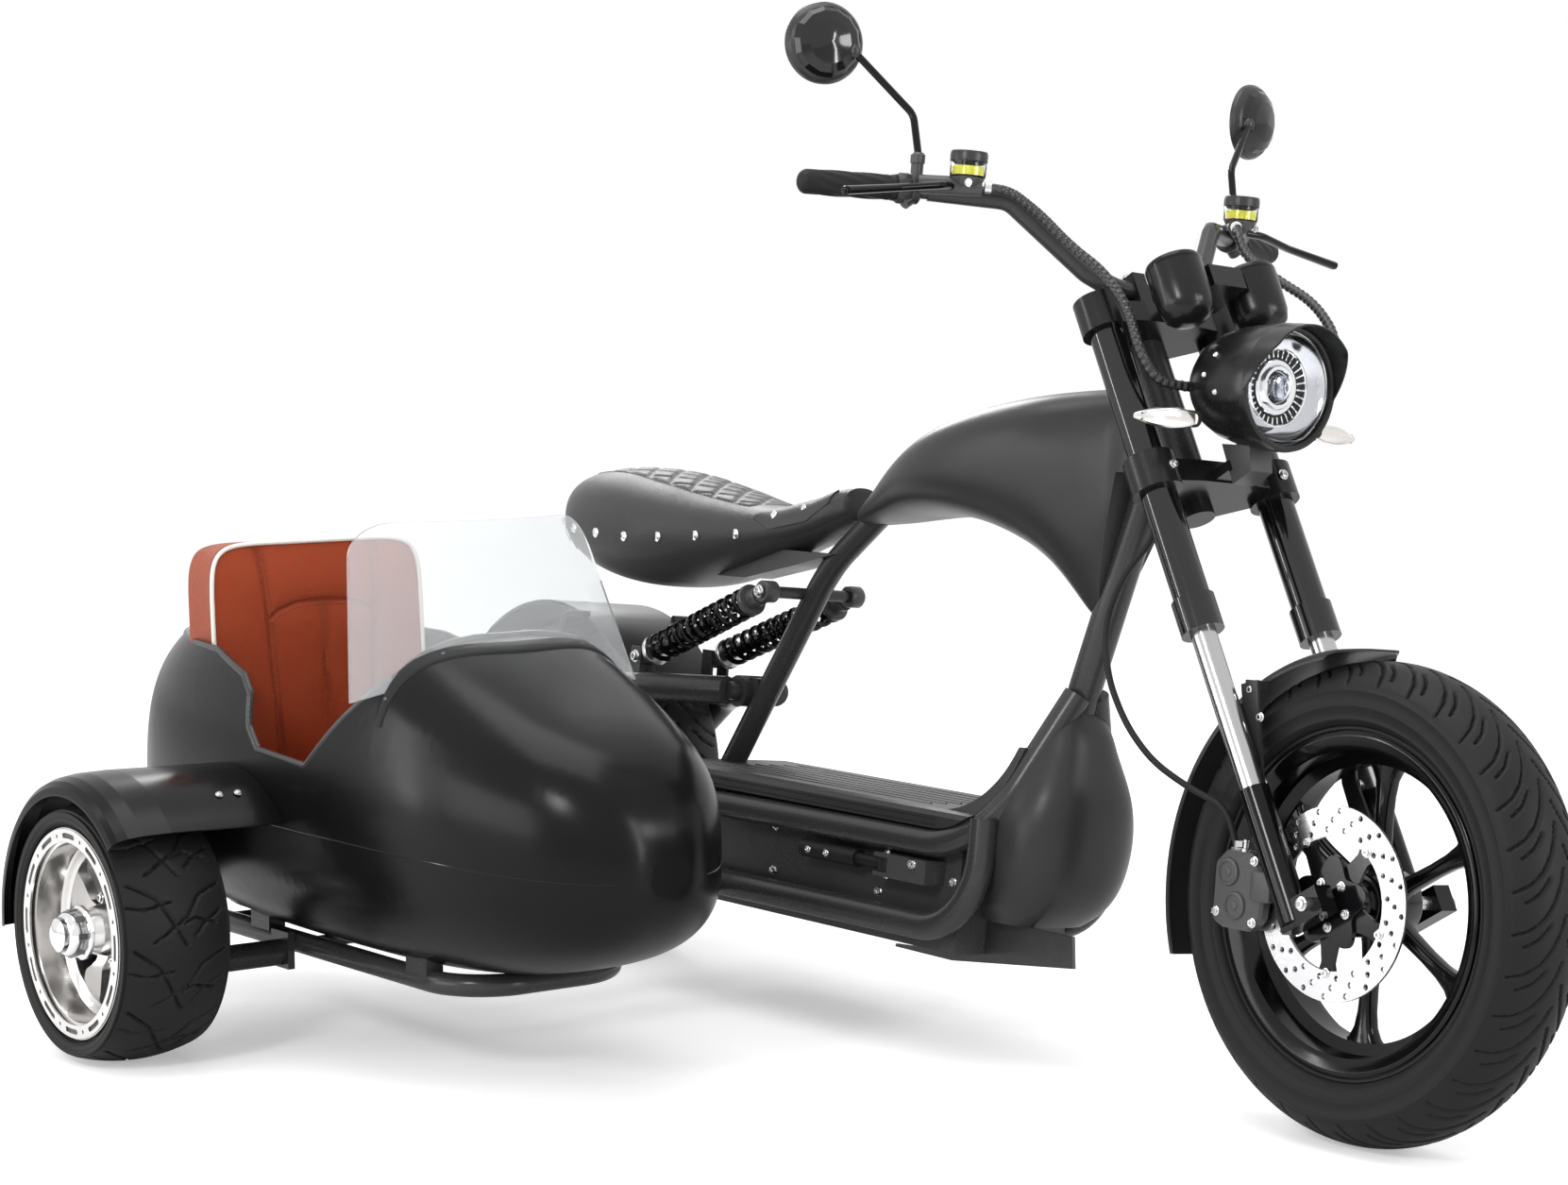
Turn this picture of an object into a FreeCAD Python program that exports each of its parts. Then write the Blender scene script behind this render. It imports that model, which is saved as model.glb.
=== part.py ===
import FreeCAD, Part
import math
import os
from FreeCAD import Vector as V

# Three-wheeled sidecar motorcycle: a low electric chopper with a small one-seat sidecar on its right.
# Working frame, in millimetres: +X forward, +Y left, +Z up, with zero on the ground right under the
# front axle. The motorcycle is drawn upright on its own centre plane and leans over as one when it
# is written out. The sidecar stands upright.

# Stance
WHEELBASE = 1590.0
LEAN = 6.0
ORIGIN_X = -777.1
ORIGIN_Y = -220.5
FIT = 0.3
RUN = 0.1

# Wheels
FRONT_R = 274.0
FRONT_W = 120.0
FRONT_BEAD_R = 178.0
FRONT_BEAD_HALF = 46.0
FRONT_CROWN = 70.0
REAR_R = 240.0
REAR_W = 190.0
REAR_CROWN = 190.0
REAR_BEAD_R = 152.0
REAR_BEAD_HALF = 72.0
SIDE_R = 165.0
SIDE_W = 145.0
SIDE_BEAD_R = 118.0
SIDE_BEAD_HALF = 62.0
SIDE_X = -1257.0
SIDE_Y = -900.0
FLANGE_H = 14.0
AXLE_R = 8.0
FENDER_HALF_W = 60.0
HUB_R = 38.0
DISC_R = 110.0
DISC_T = 4.0
DISC_Y = -71.5
REAR_DISC_Y = -85.0

# Fork and steering, measured along the fork from the level of the front axle
RAKE = 31.0
FORK_X = -43.2
FORK_Y = 97.5
STEM_BACK = 40.0
STANCHION_R = 15.5
COVER_R = 22.0
COLLAR_R = 26.0
CASTING_R = 18.0
LOW_CLAMP_T = 517.0
LOW_CLAMP_H = 45.0
TOP_CLAMP_T = 735.0
TOP_CLAMP_H = 45.0
CUP_R = 30.0
STEM_R = 14.0
HEAD_R = 27.0

# Frame and footboard
DOWN_TUBE_R = 21.0
RAIL_R = 18.0
RAIL_Y = 110.0
RAIL_LOW_Z = 152.0
RAIL_HIGH_Z = 256.0
DECK_LOW = 279.0
DECK_TOP = 304.0
DECK_HALF_W = 118.0
DECK_TURN_X = -566.0
DECK_BEND = 95.0
SHEET = 12.0
SHEET_TOP = 392.0
BOX_FRONT = -612.0
BOX_REAR = -1245.0
BOX_LOW = 124.0
BOX_HALF_W = RAIL_Y - RAIL_R - FIT
STAY_R = 17.0
STAY_HUB = 24.0
SWING_R = 20.0
SWING_Y = 128.0
PIVOT_X = -1196.0
PIVOT_Z = 404.0
SHOCK_LOW_X = -1369.0
SHOCK_LOW_Y = 63.0
SHOCK_LOW_Z = 436.0
SHOCK_TOP_X = -1080.0
SHOCK_TOP_Y = 74.0
SHOCK_TOP_Z = 548.0
PEG_X = -732.0
PEG_Y = 112.0
PEG_Z = 222.0
PEG_LENGTH = 172.0
PEG_PLATE_X = -642.0
STAND_PIVOT = (-900.0, 157.0, 140.0)
STAND_LENGTH = 116.0
STAND_AXIS = (0.0, -0.961, -0.276)

# Bars and lamps
BAR_HALF = 398.0
BAR_AHEAD = 7.0
BAR_T = 795.0
BAR_MID = (-446.6, 0.0, 959.1)
GRIP_R = 16.0
BAR_R = 11.0
SWEEP_R = 13.0
MIRROR_TURN = 17.0
POD_R = 35.0
POD_Y = 62.0
POD_AHEAD = 101.0
POD_T = 694.0
LAMP_X = -214.0
LAMP_Z = 852.0
CABLE_R = 6.5
HOSE_R = 4.0

# Sidecar
TUB_X0 = -1671.0
TUB_X1 = -589.0
TUB_Y = -533.0
TUB_HALF_W = 211.0
TUB_LOW = 122.0
TUB_FLAT = 134.3
TUB_MID = 294.0
TUB_TOP = 575.0
TUB_DIP = 59.0
TUB_DROOP = 18.0
TUB_WALL = 6.0
TUB_TAIL = 3.1
TUB_NOSE = 2.5
COWL_X = -958.0
SHIELD_T = 4.0
SHIELD_TOP = 678.0
SHIELD_BULGE = 60.0
SHIELD_CORNER = 60.0
SEAT_X = -1440.0
SEAT_TOP = 627.0
SEAT_DEEP = 80.0
SEAT_LEAN = 4.0
SIDE_RAIL_R = 14.0
SIDE_RAIL_Z = 120.0
RAIL_NEAR = -650.0
RAIL_FAR = -400.0
RAIL_AHEAD = -846.0


# The lean rolls each tyre a little off its lowest ring, so the machine is lifted and the rear tyre trimmed.
ROLL = 1 / math.cos(math.radians(LEAN)) - 1
LIFT = FRONT_CROWN * ROLL
REAR_TYRE_R = REAR_R + LIFT - REAR_CROWN * ROLL


def unit(v):
    """The direction of a vector."""
    out = V(v)
    out.normalize()
    return out


def corner_path(points, radius):
    """A wire of straight runs through the points, its corners rounded by tangent arcs."""
    pts = [V(*p) for p in points]
    edges = []
    here = pts[0]
    for a, b, c in zip(pts, pts[1:], pts[2:]):
        d1 = unit(b - a)
        d2 = unit(c - b)
        turn = d1.getAngle(d2)
        reach = radius * math.tan(turn / 2)
        start = b - d1 * reach
        end = b + d2 * reach
        inward = unit(d2 - d1 * math.cos(turn))
        centre = start + inward * radius
        middle = centre + unit(b - centre) * radius
        edges.append(Part.LineSegment(here, start).toShape())
        edges.append(Part.Arc(start, middle, end).toShape())
        here = end
    edges.append(Part.LineSegment(here, pts[-1]).toShape())
    return Part.Wire(edges)


def soft_path(points):
    """A cable's route: runs through the points, each corner's arc as large as its two runs allow."""
    pts = [V(*p) for p in points]
    edges = []
    here = pts[0]
    for a, b, c in zip(pts, pts[1:], pts[2:]):
        d1 = unit(b - a)
        d2 = unit(c - b)
        turn = d1.getAngle(d2)
        reach = 0.45 * min((b - a).Length, (c - b).Length)
        radius = reach / math.tan(turn / 2)
        start = b - d1 * reach
        end = b + d2 * reach
        centre = start + unit(d2 - d1 * math.cos(turn)) * radius
        middle = centre + unit(b - centre) * radius
        edges.append(Part.LineSegment(here, start).toShape())
        edges.append(Part.Arc(start, middle, end).toShape())
        here = end
    edges.append(Part.LineSegment(here, pts[-1]).toShape())
    return Part.Wire(edges)


def cable(points, radius):
    """A round cable or hose along its route."""
    ring = Part.Wire(Part.Circle(V(*points[0]), V(*points[1]) - V(*points[0]), radius).toShape())
    return soft_path(points).makePipeShell([ring], True, False)


def tube(points, radius, bend=40.0, bore=0.0):
    """A round tube along a rounded path, solid or with a bore."""
    path = corner_path(points, bend)
    start = V(*points[0])
    heading = unit(V(*points[1]) - start)

    def swept(r):
        ring = Part.Wire(Part.Circle(start, heading, r).toShape())
        return path.makePipeShell([ring], True, False)

    body = swept(radius)
    return body.cut(swept(bore)) if bore else body


def rod(start, end, radius):
    """A straight round bar between two points."""
    a = V(*start)
    run = V(*end) - a
    return Part.makeCylinder(radius, run.Length, a, run)


def plate(outline, thickness, y):
    """A flat plate: a closed X, Z outline made solid about the given Y."""
    face = Part.Face(Part.makePolygon([V(x, y - thickness / 2, z) for x, z in outline + outline[:1]]))
    return face.extrude(V(0, thickness, 0))


def block(x0, x1, y0, y1, z0, z1, fillet=0.0):
    """A box by its corners, with its edges rounded."""
    box = Part.makeBox(x1 - x0, y1 - y0, z1 - z0, V(x0, y0, z0))
    return box.makeFillet(fillet, box.Edges) if fillet else box


def turned(profile, x, y, z):
    """A body of revolution about the Y axis, from a closed list of radius and offset pairs."""
    face = Part.Face(Part.makePolygon([V(r, w, 0) for r, w in profile + profile[:1]]))
    body = face.revolve(V(0, 0, 0), V(0, 1, 0), 360)
    body.translate(V(x, y, z))
    return body


def tyre(radius, width, bead_r, crown_r, bead_half, x, y, z):
    """A tyre: a crowned tread, bulging walls and beads that sit inside the rim's flanges."""
    half = width / 2
    edge = half * 0.93
    shoulder = radius - crown_r + math.sqrt(crown_r ** 2 - edge ** 2)
    bead = bead_r + FIT
    lip = bead_r + FLANGE_H + 2
    flat = crown_r * math.sin(math.radians(LEAN))
    top = radius - crown_r + crown_r * math.cos(math.radians(LEAN))
    side = [(bead, bead_half - FIT), (lip, bead_half - FIT), ((lip + shoulder) / 2, half), (shoulder, edge),
            (top if y == 0 else radius, flat)]
    return turned(side + [(r, -w) for r, w in reversed(side)], x, y, z)


def barrel(bead_r, bead_half, x, y, z):
    """A rim's rolled barrel with its drop centre and two flanges."""
    lip = bead_r + FLANGE_H
    b = bead_half
    w = b * 0.45
    outer = [(lip, -b - 5), (lip, -b), (bead_r, -b), (bead_r - 2, -w), (bead_r - 15, -w + 6)]
    outer += [(r, -o) for r, o in reversed(outer)]
    inner = [(lip - 5, b + 5), (bead_r - 5, b - 2), (bead_r - 8, w), (bead_r - 21, w - 6)]
    inner += [(r, -o) for r, o in reversed(inner)]
    return turned(outer + inner, x, y, z)


def spoke_ring(count, hub_r, rim_r, half_root, half_tip, thick, x, y, z, phase=90.0):
    """Flat tapered spokes, evenly turned about the wheel's axis."""
    spokes = []
    for i in range(count):
        mid = (hub_r + rim_r) / 2
        arm = [(0, -half_root), (hub_r, -half_root), (mid, -half_root * 0.8), (rim_r, -half_tip)]
        arm += [(px, -pz) for px, pz in reversed(arm)]
        spoke = plate(arm, thick, 0)
        spoke.rotate(V(0, 0, 0), V(0, 1, 0), -phase - i * 360.0 / count)
        spoke.translate(V(x, y, z))
        spokes.append(spoke)
    return spokes


def front_wheel():
    """The front tyre, cast rim and drilled disc about the front axle."""
    z = FRONT_R
    tread = tyre(FRONT_R, FRONT_W, FRONT_BEAD_R, FRONT_CROWN, FRONT_BEAD_HALF, 0, 0, z)
    rim = barrel(FRONT_BEAD_R, FRONT_BEAD_HALF, 0, 0, z)
    hub = turned([(5, DISC_Y + 7.3), (30, DISC_Y + 7.3), (30, -40), (HUB_R, -36), (HUB_R, 36), (5, 36)],
                 0, 0, z)
    spokes = spoke_ring(6, HUB_R, FRONT_BEAD_R - 14, 13, 24, 20, 0, 0, z)
    bore = rod((0, -90, z), (0, 60, z), AXLE_R + RUN)
    wheel = rim.fuse([hub] + spokes).cut(bore)
    half = DISC_T / 2
    disc = turned([(84, DISC_Y - half), (DISC_R, DISC_Y - half), (DISC_R, DISC_Y + half),
                   (84, DISC_Y + half)], 0, 0, z)
    carrier = turned([(5, DISC_Y - 3), (40, DISC_Y - 3), (40, DISC_Y + 7), (5, DISC_Y + 7)], 0, 0, z)
    arms = spoke_ring(5, 30, 90, 7, 5, 3, 0, DISC_Y, z, 54.0)
    rotor = disc.fuse([carrier] + arms).cut(bore)
    return {"front_tyre": tread, "front_rim": wheel, "front_disc": rotor}


def rear_wheel():
    """The rear tyre, its rim round a hub motor, and the rear disc."""
    x = -WHEELBASE
    z = REAR_R
    tread = tyre(REAR_TYRE_R, REAR_W, REAR_BEAD_R, REAR_CROWN, REAR_BEAD_HALF, x, 0, z)
    rim = barrel(REAR_BEAD_R, REAR_BEAD_HALF, x, 0, z)
    hole = AXLE_R + RUN
    web = REAR_BEAD_R - 17
    motor = turned([(hole, -60), (60, -60), (105, -48), (web, -20), (web, 20), (105, 48), (60, 60),
                    (hole, 60)], x, 0, z)
    seat = turned([(hole, REAR_DISC_Y + 2.3), (32, REAR_DISC_Y + 2.3), (32, -50), (hole, -50)], x, 0, z)
    rotor = turned([(hole, REAR_DISC_Y - 2), (DISC_R, REAR_DISC_Y - 2), (DISC_R, REAR_DISC_Y + 2),
                    (hole, REAR_DISC_Y + 2)], x, 0, z)
    return {"rear_tyre": tread, "rear_rim": rim.fuse([motor, seat]), "rear_disc": rotor}


def sidecar_wheel():
    """The sidecar's wide low tyre on a polished five-spoke rim."""
    tread = tyre(SIDE_R, SIDE_W, SIDE_BEAD_R, 220.0, SIDE_BEAD_HALF, SIDE_X, SIDE_Y, SIDE_R)
    rim = barrel(SIDE_BEAD_R, SIDE_BEAD_HALF, SIDE_X, SIDE_Y, SIDE_R)
    hub = turned([(5, -52), (22, -52), (30, -36), (34, -20), (34, 66), (5, 66)], SIDE_X, SIDE_Y, SIDE_R)
    spokes = spoke_ring(5, 30, SIDE_BEAD_R - 18, 11, 26, 14, SIDE_X, SIDE_Y - 4, SIDE_R)
    bore = rod((SIDE_X, SIDE_Y - 20, SIDE_R), (SIDE_X, SIDE_Y + 90, SIDE_R), AXLE_R + RUN)
    return {"side_tyre": tread, "side_rim": rim.fuse([hub] + spokes).cut(bore)}


def on_fork(shape):
    """Put a shape drawn along the fork, with Z up the leg, into the raked place."""
    out = shape.copy()
    out.rotate(V(0, 0, 0), V(0, 1, 0), -RAKE)
    out.translate(V(FORK_X, 0, FRONT_R))
    return out


def axle_in_fork():
    """The front axle's place ahead of the fork line and along it."""
    r = math.radians(RAKE)
    return -FORK_X * math.cos(r), FORK_X * math.sin(r)


def fork_legs():
    """Chromed stanchions, their black covers and the lower castings that hold the axle."""
    ax, at = axle_in_fork()
    tubes = []
    covers = []
    castings = []
    foot_t = 60
    top = TOP_CLAMP_T + TOP_CLAMP_H - 12
    for s in (-1, 1):
        y = s * FORK_Y
        tubes.append(rod((0, y, foot_t), (0, y, top), STANCHION_R))
        bore = rod((0, y, foot_t - FIT), (0, y, top), STANCHION_R + FIT)
        low = rod((0, y, 345), (0, y, LOW_CLAMP_T), COVER_R)
        collar = rod((0, y, 333), (0, y, 376), COLLAR_R)
        high = rod((0, y, LOW_CLAMP_T + LOW_CLAMP_H), (0, y, TOP_CLAMP_T), COVER_R)
        covers.append(low.fuse(collar).cut(bore))
        covers.append(high.cut(bore))
        leg = rod((0, y, -30), (0, y, 134), CASTING_R)
        foot = block(-14, ax + 16, y - 13, y + 13, at - 16, at + 16)
        axle_hole = rod((ax, y - 30, at), (ax, y + 30, at), AXLE_R + RUN)
        castings.append(leg.fuse(foot).cut(bore).cut(axle_hole))
    out = {}
    out["fork_tubes"] = on_fork(Part.makeCompound(tubes))
    out["fork_covers"] = on_fork(Part.makeCompound(covers))
    out["fork_castings"] = on_fork(Part.makeCompound(castings))
    reach = FORK_Y + 24
    out["front_axle"] = rod((0, -reach, FRONT_R), (0, reach, FRONT_R), AXLE_R)
    return out


def yoke(t0, t1):
    """A triple clamp's plate, wide at the stem and drawn in to the two cups."""
    back = -STEM_BACK - 26
    pts = [(24, -42), (18, -FORK_Y), (-18, -FORK_Y), (back, -34), (back, 34), (-18, FORK_Y), (18, FORK_Y), (24, 42)]
    face = Part.Face(Part.makePolygon([V(x, y, t0) for x, y in pts + pts[:1]]))
    return face.extrude(V(0, 0, t1 - t0))


def clamps():
    """The two triple clamps, the upper with its bar risers and the lower with the steering stem."""
    top_end = TOP_CLAMP_T + TOP_CLAMP_H
    plate_top = top_end - 8
    top = yoke(TOP_CLAMP_T + 10, plate_top)
    low = yoke(LOW_CLAMP_T + 8, LOW_CLAMP_T + LOW_CLAMP_H - 8)
    stem = rod((-STEM_BACK, 0, LOW_CLAMP_T + 10), (-STEM_BACK, 0, TOP_CLAMP_T + 10), STEM_R)
    nut = rod((-STEM_BACK, 0, LOW_CLAMP_T - 8), (-STEM_BACK, 0, LOW_CLAMP_T + 10), STEM_R + 8)
    for s in (-1, 1):
        y = s * FORK_Y
        bore = rod((0, y, 0), (0, y, top_end - 12 + FIT), STANCHION_R + FIT)
        cup = rod((0, y, TOP_CLAMP_T), (0, y, top_end), CUP_R)
        top = top.fuse(cup).cut(bore)
        riser = block(BAR_AHEAD - 16, BAR_AHEAD + 16, s * 36 - 10, s * 36 + 10, plate_top - 4, BAR_T + 19)
        top = top.fuse(riser)
        ring = rod((0, y, LOW_CLAMP_T), (0, y, LOW_CLAMP_T + LOW_CLAMP_H), CUP_R + 1)
        low = low.fuse(ring).cut(bore)
    arm = block(18, 66, -14, 14, TOP_CLAMP_T + 12, TOP_CLAMP_T + 32)
    saddle = block(64, 124, -POD_Y + POD_R, POD_Y - POD_R, TOP_CLAMP_T + 4, TOP_CLAMP_T + 32)
    top = top.fuse([arm, saddle])
    bar_hole = rod((BAR_AHEAD, -60, BAR_T), (BAR_AHEAD, 60, BAR_T), SWEEP_R + FIT)
    tongue = on_fork(block(18, 52, -22, 22, LOW_CLAMP_T + 10, LOW_CLAMP_T + 22))
    out = {}
    out["upper_clamp"] = on_fork(top.cut(bar_hole))
    out["lower_clamp"] = on_fork(low.fuse([stem, nut])).fuse(tongue)
    return out


def head_tube(grow=0.0):
    """The head tube's outside, that the steering turns in."""
    t0 = LOW_CLAMP_T + LOW_CLAMP_H - 8 + FIT
    t1 = TOP_CLAMP_T + 10 - FIT
    return on_fork(rod((-STEM_BACK, 0, t0), (-STEM_BACK, 0, t1), HEAD_R + grow))


def down_tube(grow=0.0):
    """The big single tube from the head down into the front shell."""
    return tube([(-414, 0, 770), (-512, 0, 472), (-531, 0, 402)], DOWN_TUBE_R + grow, 80)


def main_frame():
    """Head tube and down tube in one."""
    bore = on_fork(rod((-STEM_BACK, 0, 500), (-STEM_BACK, 0, 800), STEM_R + RUN))
    return {"main_frame": head_tube().fuse(down_tube()).cut(bore)}


def ring_section(x, half_w, low, high, power, y=0.0, pinch=0.0, count=24):
    """A closed smooth section across the vehicle at one X, like a superellipse pinched below."""
    mid = (low + high) / 2
    rise = (high - low) / 2
    pts = []
    for i in range(count):
        a = 2 * math.pi * i / count
        c = math.cos(a)
        s = math.sin(a)
        narrow = 1 - pinch * ((1 - s) / 2) ** 1.5
        py = half_w * narrow * math.copysign(abs(c) ** (2 / power), c)
        pz = rise * math.copysign(abs(s) ** (2 / power), s)
        pts.append(V(x, y + py, mid + pz))
    curve = Part.BSplineCurve()
    curve.interpolate(pts, PeriodicFlag=True)
    return Part.Wire(curve.toShape())


def tank_shell():
    """The arched shell from the steering head back to the saddle."""
    stations = [
        (-400, 50, 690, 836, 0.0),
        (-450, 66, 610, 842, 0.5),
        (-500, 88, 560, 842, 0.7),
        (-545, 104, 604, 838, 0.5),
        (-610, 114, 644, 829, 0.3),
        (-690, 114, 666, 812, 0.1),
        (-770, 104, 671, 784, 0.0),
        (-840, 84, 665, 742, 0.0),
        (-900, 58, 656, 702, 0.0),
        (-950, 34, 650, 674, 0.0),
    ]
    rings = [ring_section(x, w, lo, hi, 2.6, 0.0, p) for x, w, lo, hi, p in stations]
    shell = Part.makeLoft(rings, True, False)
    ahead = on_fork(block(-STEM_BACK - 26, 300, -200, 200, 300, 1000))
    below = plate([(-512, 472), (-431, 740), (-300, 740), (-300, 472)], 400, 0)
    return {"tank_shell": shell.cut([ahead, below, head_tube(FIT), down_tube(FIT)] + stays(FIT))}


def level_ring(x, z, deep, half, power=2.4, count=24):
    """A closed smooth section at one height."""
    pts = []
    for i in range(count):
        a = 2 * math.pi * i / count
        c = math.cos(a)
        s = math.sin(a)
        px = deep * math.copysign(abs(c) ** (2 / power), c)
        py = half * math.copysign(abs(s) ** (2 / power), s)
        pts.append(V(x + px, py, z))
    curve = Part.BSplineCurve()
    curve.interpolate(pts, PeriodicFlag=True)
    return Part.Wire(curve.toShape())


def front_shell():
    """The rounded shell at the foot of the down tube, and the bracket plate under it."""
    levels = [(170, -572, 50, 62), (190, -560, 66, 78), (208, -553, 74, 86), (245, -547, 82, 95),
              (283, -544, 84, 97), (339, -538, 76, 84), (394, -532, 54, 58), (441, -535, 34, 34)]
    rings = [level_ring(x, z, deep, half) for z, x, deep, half in levels]
    shell = Part.makeLoft(rings, True, False).cut([down_tube(FIT), over_deck(FIT)])
    shell = shell.cut(block(BOX_REAR, BOX_FRONT + FIT, -200, 200, BOX_LOW, 500))
    for s in (-1, 1):
        shell = shell.cut(rail(s, FIT))
    skid = plate([(-452, 169.7), (-446, 131), (-672, 107), (-786, 108), (-786, 112), (-700, 117),
                  (BOX_FRONT + FIT, 123.5), (BOX_FRONT + FIT, 169.7)], 5, -40)
    return {"front_shell": shell, "skid_plate": skid}


def deck_line(x, z, bend):
    """The deck's side outline: level over the box, then swept up behind the front shell."""
    return corner_path([(BOX_REAR, 0, z), (x, 0, z), (x + 18, 0, SHEET_TOP)], bend)


def over_deck(grow=0.0):
    """All the room above the underside of the deck."""
    x = DECK_TURN_X + SHEET + grow
    z = DECK_LOW - grow
    low = corner_path([(BOX_REAR, 0, z), (x, 0, z), (x + 18, 0, SHEET_TOP)], DECK_BEND + SHEET)
    ends = [V(x + 18, 0, SHEET_TOP), V(x + 24, 0, 600), V(BOX_REAR, 0, 600), V(BOX_REAR, 0, z)]
    edges = low.Edges + [Part.LineSegment(a, b).toShape() for a, b in zip(ends, ends[1:])]
    room = Part.Face(Part.Wire(Part.__sortEdges__(edges)))
    room.translate(V(0, -200, 0))
    return room.extrude(V(0, 400, 0))


def deck():
    """The tray of the footboard, its long edges rolled over the rails and its front swept up."""
    above = deck_line(DECK_TURN_X, DECK_TOP, DECK_BEND)
    face_edges = above.Edges + over_line().Edges
    tips = [above.Vertexes[0].Point, above.Vertexes[-1].Point]
    x = DECK_TURN_X + SHEET
    face_edges.append(Part.LineSegment(tips[0], V(BOX_REAR, 0, DECK_LOW)).toShape())
    face_edges.append(Part.LineSegment(tips[1], V(x + 18, 0, SHEET_TOP)).toShape())
    face = Part.Face(Part.Wire(Part.__sortEdges__(face_edges)))
    face.translate(V(0, -DECK_HALF_W, 0))
    tray = face.extrude(V(0, 2 * DECK_HALF_W, 0))
    w = DECK_HALF_W
    front = [(-w, 200), (-w, DECK_TOP - 9), (-w + 4, DECK_TOP - 3), (-w + 12, DECK_TOP + 0.5), (-92, 337),
             (-66, SHEET_TOP + 9)]
    front += [(-y, z) for y, z in reversed(front)]
    mask = Part.Face(Part.makePolygon([V(BOX_REAR - 1, y, z) for y, z in front + front[:1]]))
    tray = tray.common(mask.extrude(V(900, 0, 0)))
    return tray.cut(stays(FIT) + rail(-1, FIT) + rail(1, FIT))


def over_line():
    """The underside line of the deck."""
    return deck_line(DECK_TURN_X + SHEET, DECK_LOW, DECK_BEND + SHEET)


def footboard():
    """The battery box under the deck, the deck itself, and the rail loops on both sides."""
    out = {}
    side = BOX_HALF_W
    box = block(BOX_REAR, BOX_FRONT, -side, side, BOX_LOW, DECK_LOW - FIT)
    brackets = []
    gaps = []
    for s in (-1, 1):
        y0, y1 = sorted((s * (side - 1), s * (PEG_Y + 13)))
        brackets.append(block(PEG_X - 13, PEG_PLATE_X, y0, y1, PEG_Z - 15, PEG_Z + 15))
        gaps.append(block(PEG_X - 60, PEG_X + 14, s * PEG_Y - 17, s * PEG_Y + 17, PEG_Z - 9.5, PEG_Z + 9.5))
        gaps.append(rod((PEG_X, s * PEG_Y, PEG_Z - 30), (PEG_X, s * PEG_Y, PEG_Z + 30), 4 + FIT))
    out["battery_box"] = box.fuse(brackets).cut(gaps + rail(-1, FIT) + rail(1, FIT))
    out["deck"] = deck()
    for name, s in (("right", -1), ("left", 1)):
        pieces = rail(s)
        if s > 0:
            boss = along_stand(7 + FIT, 35, 12)
            pin = along_stand(-9, 20, 5 - RUN)
            pieces += [boss, pin]
        out["rail_" + name] = pieces[0].fuse(pieces[1:]).cut(down_tube(FIT))
    return out


def rail(s, grow=0.0):
    """One side's loop of rail, its two long tubes and the upright at the back."""
    y = s * RAIL_Y
    r = RAIL_R + grow
    upper = tube([(BOX_REAR, y, RAIL_HIGH_Z), (-566, s * (RAIL_Y - 2), RAIL_HIGH_Z + 4), (-510, s * 14, 462)],
                 r, 122)
    lower = tube([(BOX_REAR, y, RAIL_LOW_Z), (-556, y, RAIL_LOW_Z + 3), (-562, s * (RAIL_Y - 6), 300)], r, 100)
    return [upper, lower, rod((BOX_REAR, y, RAIL_LOW_Z), (BOX_REAR, y, RAIL_HIGH_Z), r)]


def along_stand(start, end, radius):
    """A round piece on the side stand's hinge line, from the pivot in towards the rail."""
    inward = V(*STAND_AXIS)
    pivot = V(*STAND_PIVOT)
    return rod(tuple(pivot + inward * start), tuple(pivot + inward * end), radius)


def foot_pegs():
    """The two footpegs, folded back along the box."""
    out = {}
    for name, s in (("right", -1), ("left", 1)):
        y = s * PEG_Y
        eye = rod((PEG_X, y, PEG_Z - 9), (PEG_X, y, PEG_Z + 9), 12)
        bar = rod((PEG_X - 8, y, PEG_Z), (PEG_X - 60, y, PEG_Z), 8)
        pad = rod((PEG_X - 58, y, PEG_Z), (PEG_X - PEG_LENGTH, y, PEG_Z), 11.5)
        hole = rod((PEG_X, y, PEG_Z - 30), (PEG_X, y, PEG_Z + 30), 4 + FIT)
        pin = rod((PEG_X, y, PEG_Z - 15), (PEG_X, y, PEG_Z + 15), 4)
        out["foot_peg_" + name] = eye.fuse([bar, pad]).cut(hole).fuse(pin)
    return out


def stays(grow=0.0):
    """The single stay from the tank's tail down to the back of the footboard."""
    return [tube([(-938, 0, 668), (-1041, 0, 587), (-1229, 0, 294)], STAY_R + grow, 250)]


def swing_tubes(grow=0.0):
    """The swingarm's two bowed tubes and their axle ends."""
    made = []
    for s in (-1, 1):
        y = s * SWING_Y
        made.append(tube([(PIVOT_X, s * 42, PIVOT_Z), (-1330, s * 92, 396), (-1420, y, 380),
                          (-WHEELBASE, y, REAR_R)], SWING_R + grow, 60))
        made.append(rod((-WHEELBASE, y - 20 - grow, REAR_R), (-WHEELBASE, y + 20 + grow, REAR_R), 24 + grow))
    return made


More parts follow.
